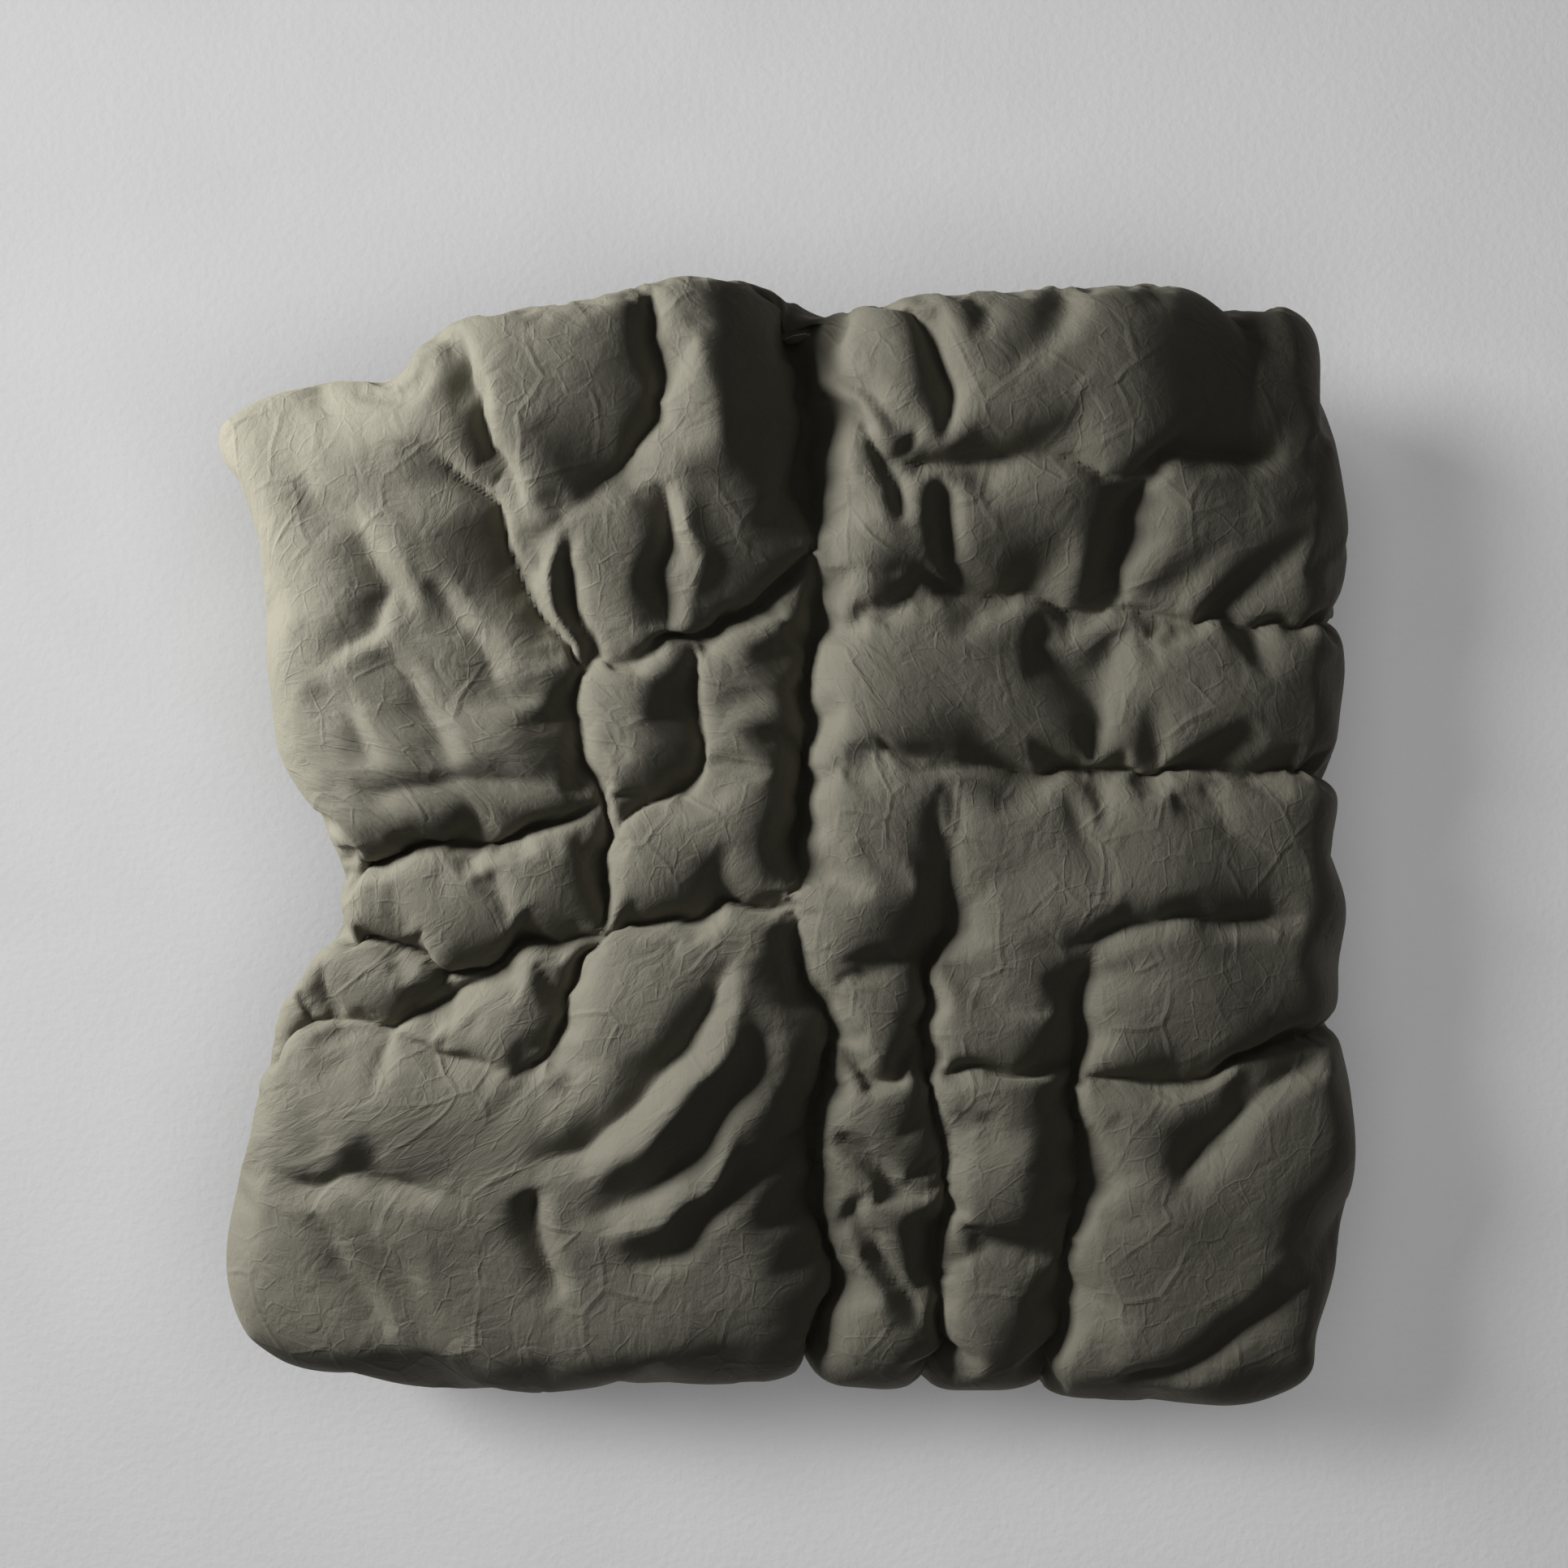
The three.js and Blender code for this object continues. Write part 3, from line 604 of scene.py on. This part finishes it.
trial, trial_order = flat_grid("trial", *COARSE)
_, _, trial_points, held, _ = laid_out(trial_order)
write_points(trial, trial_order, trial_points)
hold = np.maximum(held * HOLD_AT_CREASES, 0.02)
edge = np.ones_like(hold)
edge[2:-2, 2:-2] = 0
moved = blown(trial, trial_order, np.maximum(hold, edge), PRESSURE, FRAMES, CAP, SPARE_CLOTH)
bpy.data.objects.remove(trial)
top_points = top_points + twice_as_fine(moved)
print("blown out by", np.percentile(np.linalg.norm(moved, axis=-1), [50, 90, 99]).round(4), "m")
top_points = evened(top_points, 1)

# %% [markdown]
# ## The sewn edge
#
# The cover is sewn 14 mm inside its edge, which leaves a thin flange outside the seam. The thread
# draws the cloth in a little, so it puckers in short waves beside the stitches.

# %% Puckers along the seam
SEAM = 0.014
PUCKER = 0.0016
PUCKER_LENGTH = 0.036
flat_plan = np.dstack(np.meshgrid(np.linspace(0, 2.4, FINE[0] + 1), np.linspace(0, 2.2, FINE[1] + 1)))
small = waves(flat_plan.reshape(-1, 2), PUCKER_LENGTH, 7).reshape(run.shape)
beside = np.exp(-(((run - 0.022) / 0.014) ** 2))
groove = np.exp(-(((run - SEAM) / 0.006) ** 2))
top_points += outward * (PUCKER * small * beside - 0.001 * groove)[..., None]

# %% [markdown]
# Loose cloth may stand a little proud of the plain frame, but no more than a few centimetres, or
# the piece would no longer be the size it is said to be. Past half of that, it is eased back.

# %% Keep the cloth near the frame's box
PROUD_SHARE = 0.03  # of each side of the box
PROUD_MORE = 0.006


def eased_in(points):
    """Points far outside the frame's box, eased back towards it."""
    for axis in range(3):
        low, high = frame_box[0][axis], frame_box[1][axis]
        free = 0.5 * (PROUD_SHARE * (high - low) + PROUD_MORE)
        for wall, way in ((low, -1), (high, 1)):
            beyond = np.maximum((points[..., axis] - wall) * way - free, 0)
            points[..., axis] -= way * (beyond - free * np.tanh(beyond / free))
    return points


top_points = eased_in(top_points)

# %% [markdown]
# ## The foot opening's hem
#
# Between the ends of the opening the cover stops at the hinge line of the outer hem band. Each
# column of the grid is shifted so that its last point lands on that line, and the shift fades out
# over a hand's breadth of cloth above it.

# %% Bring the foot hem to the hinge line
hinge = next(joint for joint in frame["joints"] if joint["name"] == "foot_opening")
hinge_at = np.array(hinge["pos_m"])
OPENING_HALF = 0.60
OPENING_FADE = 0.12
HEM_FADE = 0.16  # cloth over which the shift fades
BAND_STACK = 0.0072  # cloth, poppers and cloth, between the cover's two hems
TOP_HEM_BACK = 0.0006  # of the top panel's hem behind the hinge line
BOTTOM_HEM_BACK = 0.0055
cell = np.linalg.norm(np.diff(top_points, axis=0), axis=-1)
from_foot = np.vstack([np.zeros(cell.shape[1]), np.cumsum(cell, axis=0)])


def to_hinge(points, from_foot, target_y, target_z):
    """Points with the foot hem on a straight line over the width of the opening."""
    goal = points[0].copy()
    goal[:, 1], goal[:, 2] = target_y, target_z
    in_opening = 1 - smooth(np.abs(points[0, :, 0]), OPENING_HALF, OPENING_HALF + OPENING_FADE)
    fade = (1 - smooth(from_foot, 0, HEM_FADE))[..., None]
    return points + (goal - points[0])[None] * in_opening[None, :, None] * fade


top_points = to_hinge(top_points, from_foot, hinge_at[1] + TOP_HEM_BACK, hinge_at[2])
write_points(cover_top, top_order, top_points)
shade_smooth(cover_top)

# %% [markdown]
# ## The bottom panel
#
# It lies on the mattress and the pillows, so it is far plainer than the top: flat where it rests,
# and following the top panel where a deep crease or a hem brings the two together.

# %% Cover, bottom panel
EDGE_RUN = 0.42  # cloth from a hanging hem to full thickness: thinner than the bend is round
HEAD_RUN = 0.30
CLOSED = 0.009  # least distance between the two panels
HEM_CLOSED = 0.0015


def halved(values):
    return values[::2, ::2]


def lowest_near(values, rounds):
    """Each inner value lowered to the least of its neighbours, again and again."""
    values = values.copy()
    for _ in range(rounds):
        values[1:-1, 1:-1] = np.minimum.reduce([values[1:-1, 1:-1], values[:-2, 1:-1], values[2:, 1:-1],
                                                values[1:-1, :-2], values[1:-1, 2:]])
    return values


end_reach = np.full(run.shape, EDGE_RUN)
end_reach[len(run) // 2:] = HEAD_RUN
# both runs are short in a corner, so it is thinner there than along a hem and can't fold over
rise = np.sin(np.clip(runs[0] / EDGE_RUN, 0, 1) * math.pi / 2)
rise = rise * np.sin(np.clip(runs[1] / end_reach, 0, 1) * math.pi / 2)
gap = HEM_CLOSED + (CLOSED - HEM_CLOSED) * smooth(run, 0, 0.04)
above = ((top_points - even) * outward).sum(-1)  # of the top over the even drape
sideways = top_points - even - outward * above[..., None]
# the bottom panel's grid is coarser, so it keeps clear of creases that run between its points
below = np.minimum(-THICKNESS * rise, lowest_near(above, 3) - gap)
bottom_points = even + outward * below[..., None] + sideways * (1 - smooth(run, 0.0, 0.12))[..., None]
bottom_points = to_hinge(
    bottom_points, from_foot, hinge_at[1] + BOTTOM_HEM_BACK, hinge_at[2] - BAND_STACK * 0.75)
bottom_points = halved(bottom_points)
cover_bottom, bottom_order = flat_grid("cover_bottom", *COARSE)
write_points(cover_bottom, bottom_order, bottom_points)
cover_bottom.data.flip_normals()
shade_smooth(cover_bottom)
print("cover bottom", len(cover_bottom.data.vertices), "points")

# %% [markdown]
# ## The insert
#
# The insert is one padded piece, a few centimetres smaller than the cover all round. Its two
# shells are drawn together along the walls between its 4 x 4 boxes. It is placed between the two
# finished panels, point by point, so that it stays inside the cover.

# %% Insert
INSET = 3  # grid cells between the insert's edge and the cover's
SLACK = 0.0022  # between the insert and each panel
BOXES = 4
CORNER_IN = 11  # grid cells by which the insert's corners stay short of the cover's
CORNER_REACH = 20


def box_seams(fraction):
    """1 on the lines between boxes and 0 in their middles."""
    return np.abs(np.cos(fraction * BOXES * math.pi)) ** 24


def within(values):
    return halved(values)[INSET:-INSET, INSET:-INSET]


insert_order_shape = (COARSE[0] - 2 * INSET, COARSE[1] - 2 * INSET)
insert, insert_order = flat_grid("insert", *insert_order_shape)
bm = bmesh.new()
bm.from_mesh(insert.data)
raised = bmesh.ops.extrude_face_region(bm, geom=bm.faces[:])
moved_up = [g for g in raised["geom"] if isinstance(g, bmesh.types.BMVert)]
bmesh.ops.translate(bm, vec=(0, 0, 1), verts=moved_up)
bmesh.ops.recalc_face_normals(bm, faces=bm.faces[:])
bm.to_mesh(insert.data)
bm.free()
co = points_of(insert)
rank = np.lexsort((co[:, 0].round(5), co[:, 1].round(5), co[:, 2].round(2)))
rows, columns = insert_order_shape[1] + 1, insert_order_shape[0] + 1
p, q = np.meshgrid(np.linspace(0, 1, columns), np.linspace(0, 1, rows))
drawn = np.maximum(box_seams(p), box_seams(q))
shrunk = evened(lowest_near(above, 7), 6)  # so that the insert clears every crease
edge_in = np.minimum.reduce([p * columns, (1 - p) * columns, q * rows, (1 - q) * rows])
full = smooth(edge_in, -1, 6)
floor_in = within(below) + SLACK
upper = np.maximum(within(shrunk) - SLACK - drawn * 0.012, floor_in + 0.001)
middle_height = (upper + floor_in) / 2
upper = middle_height + (upper - middle_height) * np.maximum(full, 0.1)
lower = middle_height + (floor_in + drawn * 0.004 - middle_height) * np.maximum(full, 0.1)
# heights become shares of the way from the bottom panel to the top one, clear of both
span = within(above - below)
clear = SLACK / span
high_share = np.clip((upper - within(below)) / span, clear * 1.2, 1 - clear)
low_share = np.minimum(np.clip((lower - within(below)) / span, clear, 1), high_share - 0.1 * clear)
under = bottom_points[INSET:-INSET, INSET:-INSET]
across_gap = within(top_points) - under


def corners_in(points):
    """The same layer with its corners drawn in, read from places nearer the middle."""
    column, row = np.meshgrid(np.arange(columns, dtype=float), np.arange(rows, dtype=float))
    from_side, from_end = np.minimum(column, columns - 1 - column), np.minimum(row, rows - 1 - row)
    shift = CORNER_IN * (np.clip(1 - from_side / CORNER_REACH, 0, 1)
                         * np.clip(1 - from_end / CORNER_REACH, 0, 1))
    column += np.where(column < columns / 2, shift, -shift)
    row += np.where(row < rows / 2, shift, -shift)
    i, j = row.astype(int).clip(0, rows - 2), column.astype(int).clip(0, columns - 2)
    a, b = (row - i)[..., None], (column - j)[..., None]
    return ((1 - a) * ((1 - b) * points[i, j] + b * points[i, j + 1])
            + a * ((1 - b) * points[i + 1, j] + b * points[i + 1, j + 1]))


layers = [corners_in(under + across_gap * share[..., None]) for share in (low_share, high_share)]
write_points(insert, rank, np.stack(layers))
shade_smooth(insert)
print("insert", len(insert.data.vertices), "points")

# %% [markdown]
# ## Stitches
#
# A stitch is a short raised dash of thread. Each row is one piece, made by setting a small box-shaped
# bar down again and again along the seam, 4.6 mm apart.

# %% Stitch rows
STITCH_PITCH = 0.0046
STITCH = (0.0030, 0.0007, 0.0005)  # length, width, height


def stitch_row(name, lines, ups):
    """One piece of thread dashes along lines of points, lying on the surface below ups."""
    bm = bmesh.new()
    for line, up in zip(lines, ups):
        length = run_of(line)
        stops = np.arange(STITCH_PITCH, length[-1] - STITCH_PITCH, STITCH_PITCH)
        at = read_at(stops, length, line)
        ahead = read_at(stops + 0.002, length, line) - at
        for spot, way, lift in zip(at, ahead, read_at(stops, length, up)):
            x, z = Vector(way).normalized(), Vector(lift).normalized()
            y = z.cross(x).normalized()
            z = x.cross(y)
            turn = Matrix((x * STITCH[0], y * STITCH[1], z * STITCH[2])).transposed().to_4x4()
            turn.translation = Vector(spot) + z * STITCH[2] * 0.5
            bmesh.ops.create_cube(bm, size=1, matrix=turn)
    return piece_from(bm, name)


def between(first, second, share):
    return first * (1 - share) + second * share


left_line = between(top_points[:, 1], top_points[:, 2], 0.8)
right_line = between(top_points[:, -2], top_points[:, -3], 0.8)
head_line = between(top_points[-2], top_points[-3], 0.8)
edge_thread = stitch_row("edge_stitches", [left_line, right_line, head_line],
                         [outward[:, 2], outward[:, -3], outward[-3]])

# The outer hem band is a flat strip that slopes down and away from the cover
low, high = [np.array(corner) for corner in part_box("hem_band_outer")]
slope_start, slope_end = np.array([0, high[1], high[2]]), np.array([0, low[1], low[2]])
face_up = np.array([0.0, -1.0, 1.0]) / math.sqrt(2)
stitched = np.linspace(low[0] + 0.004, high[0] - 0.004, 60)
lines = []
for share in (0.16, 0.84):
    spot = between(slope_start, slope_end, share) + face_up * 0.0003
    lines.append(np.stack([stitched, np.full(60, spot[1]), np.full(60, spot[2])], axis=1))
hem_thread = stitch_row("hem_stitches", lines, [np.tile(face_up, (60, 1))] * 2)
print("stitches", len(edge_thread.data.polygons) // 6, "and", len(hem_thread.data.polygons) // 6)

# %% [markdown]
# ## Corner loops, ties and the washing label
#
# A small loop of tape at each corner of the insert is tied to a ribbon sewn into the cover's
# corner, so that the insert can't slide down. The label is a blank slip of satin in the left seam.

# %% Loops, ties and label
LOOP_RADIUS = 0.006
TAPE = (0.0006, 0.003)  # thickness and width
TIE = (0.030, 0.005)


def facing(at, x_way, z_way):
    """The place at a point, with X along one direction and Z close to another."""
    x = Vector(x_way).normalized()
    y = Vector(z_way).cross(x).normalized()
    z = x.cross(y)
    place = Matrix((x, y, z)).transposed().to_4x4()
    place.translation = Vector(at)
    return place


def strip(length, width, x_segments=1, y_segments=1):
    bm = bmesh.new()
    bmesh.ops.create_grid(bm, x_segments=x_segments, y_segments=y_segments, size=0.5,
                          matrix=Matrix.Diagonal((length, width, 1, 1)))
    return bm


small_pieces = []
for end, row, row_in in (("foot", 3, 9), ("head", -4, -10)):
    for side, column, column_in in (("left", 3, 9), ("right", -4, -10)):
        at = top_points[row, column] - outward[row, column] * 0.0035
        inward = top_points[row_in, column_in] - top_points[row, column]
        bm = strip(*TAPE)
        bmesh.ops.rotate(bm, verts=bm.verts[:], matrix=Matrix.Rotation(math.pi / 2, 3, "X"))
        bmesh.ops.translate(bm, verts=bm.verts[:], vec=(LOOP_RADIUS, 0, 0))
        bmesh.ops.spin(bm, geom=bm.faces[:], cent=(0, 0, 0), axis=(0, 0, 1), angle=2 * math.pi,
                       steps=20, use_merge=True, use_duplicate=False)
        bmesh.ops.recalc_face_normals(bm, faces=bm.faces[:])
        bm.transform(facing(at, inward, outward[row, column]))
        small_pieces.append(piece_from(bm, f"loop_{end}_{side}"))
        bm = strip(*TIE, 10, 2)
        for vert in bm.verts:
            vert.co.z = 0.0010 * math.cos(vert.co.x * 320)
        bm.transform(facing(at + np.array(inward) * 0.05, inward, outward[row, column]))
        small_pieces.append(piece_from(bm, f"tie_{end}_{side}"))

LABEL = (0.038, 0.030)
LABEL_AT = -0.42
label_row = int(np.argmin(np.abs(top_points[:, 0, 1] - LABEL_AT)))
hem_spot, above_spot = top_points[label_row, 0], top_points[label_row, 2]
hang_way = Vector(hem_spot - above_spot).normalized() * 0.4 + Vector((0, 0, -1)) * 0.6
bm = strip(*LABEL, 12, 6)
for vert in bm.verts:
    vert.co.z = 0.004 * (vert.co.x / LABEL[0] + 0.5) ** 2
    vert.co.x += LABEL[0] * 0.5 - 0.003
bm.transform(facing(hem_spot, hang_way, outward[label_row, 2]))
label = piece_from(bm, "washing_label")
for piece in [*small_pieces, label]:
    shade_smooth(piece)
print(len(small_pieces), "loops and ties, one label", [round(v, 3) for v in hem_spot])

# %% [markdown]
# ## The cloth's own directions
#
# Weave and crinkle follow the threads, so each panel gets a flat map in metres of cloth.


# %% Flat maps
def flat_map(obj, order, size):
    """UV coordinates in metres along the threads of a grid piece."""
    rows, columns = order.shape
    across, along = np.meshgrid(np.linspace(0, size[0], columns), np.linspace(0, size[1], rows))
    place = np.empty((order.size, 2), np.float32)
    place[order.ravel()] = np.stack([across.ravel(), along.ravel()], axis=1)
    corner = np.empty(len(obj.data.loops), np.int32)
    obj.data.loops.foreach_get("vertex_index", corner)
    obj.data.uv_layers.new(name="threads").data.foreach_set("uv", place[corner].ravel())


flat_map(cover_top, top_order, (2.4, 2.2))
flat_map(cover_bottom, bottom_order, (2.4, 2.2))

# %% [markdown]
# ## Cloth materials
#
# The cover is washed cotton percale: a plain weave of fine threads, dyed olive grey, matt with a
# faint bloom of loose fibres at grazing angles. Washing leaves three sizes of relief: soft rumples
# of a few centimetres, sharp little crinkles, and the grain of the weave itself.


# %% Cotton
def new_material(name):
    material = bpy.data.materials.new(name)
    material.use_nodes = True
    return material, material.node_tree, material.node_tree.nodes["Principled BSDF"]


def fill(tree, node, **inputs):
    """Puts a value into each named input of a node, or joins a socket to it."""
    for name, value in inputs.items():
        socket = node.inputs[name.replace("_", " ")]
        if isinstance(value, bpy.types.NodeSocket):
            tree.links.new(value, socket)
        else:
            socket.default_value = value
    return node.outputs


def add(tree, kind, **inputs):
    """A new node with its inputs filled. Returns its outputs."""
    return fill(tree, tree.nodes.new("ShaderNode" + kind), **inputs)


def noise(tree, place, scale, detail, distortion=0.0, stretch=None):
    if stretch:
        place = add(tree, "Mapping", Vector=place, Scale=stretch)["Vector"]
    return add(tree, "TexNoise", Vector=place, Scale=scale, Detail=detail, Distortion=distortion)["Fac"]


def ramp(tree, value, low, high, start=0.0, end=1.0):
    return add(tree, "MapRange", Value=value, From_Min=start, From_Max=end, To_Min=low,
               To_Max=high)["Result"]


def maths(tree, kind, first, second=None):
    node = tree.nodes.new("ShaderNodeMath")
    node.operation = kind
    for socket, value in zip(node.inputs, (first, second)):
        if isinstance(value, (int, float)):
            socket.default_value = value
        elif value is not None:
            tree.links.new(value, socket)
    return node.outputs[0]


def two_tone(tree, shader, share, dark, light):
    """The base colour, between a dark and a light tone."""
    mix = tree.nodes.new("ShaderNodeMix")
    mix.data_type = "RGBA"
    mix.inputs[6].default_value = (*dark, 1)
    mix.inputs[7].default_value = (*light, 1)
    tree.links.new(share, mix.inputs[0])
    tree.links.new(mix.outputs[2], shader.inputs["Base Color"])


def bumped(tree, height, distance, **before):
    return add(tree, "Bump", Height=height, Distance=distance, Strength=1.0, **before)["Normal"]


def pressed_lines(tree, place, scale):
    """Thin straight crease lines that meet in corners, as cloth keeps after being folded."""
    bend = add(tree, "TexNoise", Vector=place, Scale=scale * 0.7)["Color"]
    moved = tree.nodes.new("ShaderNodeVectorMath")
    moved.operation = "MULTIPLY_ADD"
    tree.links.new(bend, moved.inputs[0])
    moved.inputs[1].default_value = [0.35 / scale] * 3
    tree.links.new(place, moved.inputs[2])
    cells = tree.nodes.new("ShaderNodeTexVoronoi")
    cells.feature = "DISTANCE_TO_EDGE"
    distance = fill(tree, cells, Scale=scale, Vector=moved.outputs[0])["Distance"]
    line = ramp(tree, distance, 1.0, 0.0, 0.0, 0.07)
    # only some of the lines show, as they fade where the cloth has been pulled smooth
    kept = ramp(tree, noise(tree, place, scale * 0.6, 2.0), 0.0, 1.0, 0.42, 0.62)
    return maths(tree, "MULTIPLY", line, kept)


def cotton(name, colour, map_name=None, rumple=0.0012, crinkle=0.00026, weave=0.00010, bloom=0.3):
    """Washed cotton on thread coordinates, or on the object's own where there is no map."""
    material, tree, shader = new_material(name)
    if map_name:
        source = tree.nodes.new("ShaderNodeUVMap")
        source.uv_map = map_name
        place = source.outputs["UV"]
    else:
        place = add(tree, "TexCoord")["Object"]
    # colour: broad fading from washing, and a little fleck from thread to thread
    fade = noise(tree, place, 5.0, 3.0, 0.6)
    fleck = noise(tree, place, 420.0, 2.0)
    tone = maths(tree, "ADD", ramp(tree, fade, -0.16, 0.16, 0.25, 0.75),
                 ramp(tree, fleck, -0.10, 0.10, 0.3, 0.7))
    two_tone(tree, shader, maths(tree, "ADD", tone, 0.5),
             [c * 0.84 for c in colour], [c * 1.18 for c in colour])
    fill(tree, shader, Roughness=ramp(tree, fleck, 0.72, 0.88), Specular_IOR_Level=0.28,
         Sheen_Weight=bloom, Sheen_Roughness=0.45,
         Sheen_Tint=(*[min(1, c * 3.2) for c in colour], 1))
    # relief: rumples, crinkles that meet in sharp short lines, and the weave
    soft = noise(tree, place, 17.0, 3.0, 0.35)
    folded = maths(tree, "ABSOLUTE", maths(tree, "SUBTRACT", soft, 0.5))
    normal = bumped(tree, folded, rumple * 5)
    fine = noise(tree, place, 75.0, 4.0, 0.5, (1.0, 0.6, 1.0))
    creased = maths(tree, "ABSOLUTE", maths(tree, "SUBTRACT", fine, 0.5))
    normal = bumped(tree, creased, crinkle * 5, Normal=normal)
    for scale, height in ((9.0, 0.0016), (23.0, 0.0007)):
        normal = bumped(tree, pressed_lines(tree, place, scale), height, Normal=normal)
    normal = bumped(tree, noise(tree, place, 260.0, 3.0, 0.4), 0.0005, Normal=normal)
    threads = []
    for direction in ("X", "Y"):
        wave = tree.nodes.new("ShaderNodeTexWave")
        wave.bands_direction = direction
        threads.append(fill(tree, wave, Vector=place, Scale=560, Distortion=1.2, Detail_Scale=2)["Fac"])
    fill(tree, shader, Normal=bumped(tree, maths(tree, "MAXIMUM", *threads), weave, Normal=normal))
    for node in tree.nodes if map_name else []:  # a flat map has no third direction
        if node.bl_idname == "ShaderNodeTexNoise":
            node.noise_dimensions = "2D"
        elif node.bl_idname == "ShaderNodeTexVoronoi":
            node.voronoi_dimensions = "2D"
    return material


COVER_COLOUR = (0.190, 0.180, 0.140)
cover_cotton = cotton("cover_cotton", COVER_COLOUR, "threads")
hem_cotton = cotton("hem_cotton", [c * 0.95 for c in COVER_COLOUR], rumple=0.0012)
shell_cotton = cotton("shell_cotton", (0.78, 0.76, 0.70), rumple=0.003, bloom=0.15)
ribbon = cotton("ribbon", (0.24, 0.23, 0.18), rumple=0.0002, crinkle=0.0001)

# %% [markdown]
# ## Thread, satin and popper plastic
#
# Sewing thread is spun tighter than the cloth and shines a little more. The label is satin, whose
# long floats give a band of gloss. The poppers are moulded plastic dyed to the cover's colour.

# %% Thread, satin, plastic
def patterned(name, scale, detail, dark, light, relief, stretch=None):
    """A material with one fine pattern in both its colour and its relief."""
    material, tree, shader = new_material(name)
    pattern = noise(tree, add(tree, "TexCoord")["Object"], scale, detail, 0.0, stretch)
    two_tone(tree, shader, pattern, dark, light)
    fill(tree, shader, Normal=bumped(tree, pattern, relief))
    return material, tree, shader, pattern


thread, tree, shader, _ = patterned(
    "thread", 2600.0, 1.0, (0.20, 0.19, 0.15), (0.30, 0.285, 0.23), 0.0001)
fill(tree, shader, Roughness=0.5)
satin, tree, shader, _ = patterned(
    "label_satin", 900.0, 2.0, (0.78, 0.77, 0.73), (0.88, 0.87, 0.84), 0.0001, (1.0, 0.12, 1.0))
fill(tree, shader, Roughness=0.34, Anisotropic=0.6)
plastic, tree, shader, mottle = patterned(
    "popper_plastic", 240.0, 3.0, (0.085, 0.080, 0.063), (0.105, 0.099, 0.080), 0.0002)
fill(tree, shader, Roughness=ramp(tree, mottle, 0.30, 0.45))

# %% [markdown]
# Each piece gets its finish. The hem bands and the poppers are the frame's own solids.

# %% Dress every piece
def dress(obj, material):
    obj.data.materials.clear()
    obj.data.materials.append(material)


for piece, material in ((cover_top, cover_cotton), (cover_bottom, cover_cotton), (insert, shell_cotton),
                        (edge_thread, thread), (hem_thread, thread), (label, satin),
                        *[(piece, ribbon) for piece in small_pieces]):
    dress(piece, material)
for name, node in frame["nodes"].items():
    if name.startswith("hem_band"):
        dress(node, hem_cotton)
    elif name.startswith("popper"):
        dress(node, plastic)

# %% [markdown]
# ## What stands for what, and what moves with what
#
# The frame's pieces that the new cloth stands for are hidden. The cover, its stitches and the insert
# stay where they are made; the hem's stitches, the label, the loops and the ties ride with what
# they are sewn to.

# %% Join to the frame
cover_nodes = [n for n in frame["nodes"] if n.startswith("cover_top")]
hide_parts(*cover_nodes)
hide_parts(*[n for n in frame["nodes"] if n.startswith("cover_bottom")])
inside = ("insert_shell", "insert_cross", "insert_long", "filling")
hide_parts(*[n for n in frame["nodes"] if n.startswith(inside)])
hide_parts("care_label")
for piece in small_pieces:
    kind, end, side = piece.name.split("_")
    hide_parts(f"{'insert_loop' if kind == 'loop' else 'cover_tie'}_{end}_{side}")
    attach(piece, head_end if end == "head" else body)
for piece in (cover_top, cover_bottom, insert, edge_thread):
    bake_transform(piece)
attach(label, body)
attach(hem_thread, "foot_flap")

# %% [markdown]
# ## Floor and light
#
# A pale paper floor, one large window-like lamp from the left, and two soft lamps for the floor.

# %% Floor and light
bpy.ops.mesh.primitive_plane_add(size=60, location=(0, 0, frame_box[0][2] - 0.002))
floor = bpy.context.object
floor.name = "floor"
paper, tree, shader = new_material("floor_paper")
place = add(tree, "TexCoord")["Object"]
two_tone(tree, shader, noise(tree, place, 3.0, 6.0, 0.4), (0.60, 0.60, 0.605), (0.66, 0.66, 0.665))
fill(tree, shader, Roughness=0.9, Normal=bumped(tree, noise(tree, place, 60.0, 5.0), 0.002))
floor.data.materials.append(paper)
floor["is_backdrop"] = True


def softbox(name, location, target, size, power, lit=None):
    """A soft lamp aimed at a point. With lit, it lights only those objects."""
    data = bpy.data.lights.new(name, "AREA")
    data.shape = "RECTANGLE"
    data.size, data.size_y = size
    data.energy = power
    lamp = bpy.data.objects.new(name, data)
    lamp.location = location
    lamp.rotation_euler = (Vector(target) - Vector(location)).to_track_quat("-Z", "Y").to_euler()
    bpy.context.collection.objects.link(lamp)
    if lit:
        receivers = bpy.data.collections.new(name + "_lights")
        for piece in lit:
            receivers.objects.link(piece)
        lamp.light_linking.receiver_collection = receivers


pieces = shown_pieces()
softbox("window", (-2.75, 1.25, 1.14), (-0.15, 0.1, 0.05), (0.9, 0.9), 165, pieces)
softbox("floor_lamp", (-7.0, 3.0, 6.6), (0.6, -0.2, -0.3), (3.4, 3.4), 700, [floor])
softbox("floor_fill", (0.8, 0.0, 5.0), (0.8, 0.0, 0.0), (5.0, 5.0), 150, [floor])
world = bpy.data.worlds.new("studio")
world.use_nodes = True
fill(world.node_tree, world.node_tree.nodes["Background"], Color=(1, 1, 1, 1), Strength=0.06)
bpy.context.scene.world = world
bpy.context.scene.view_settings.view_transform = "Standard"
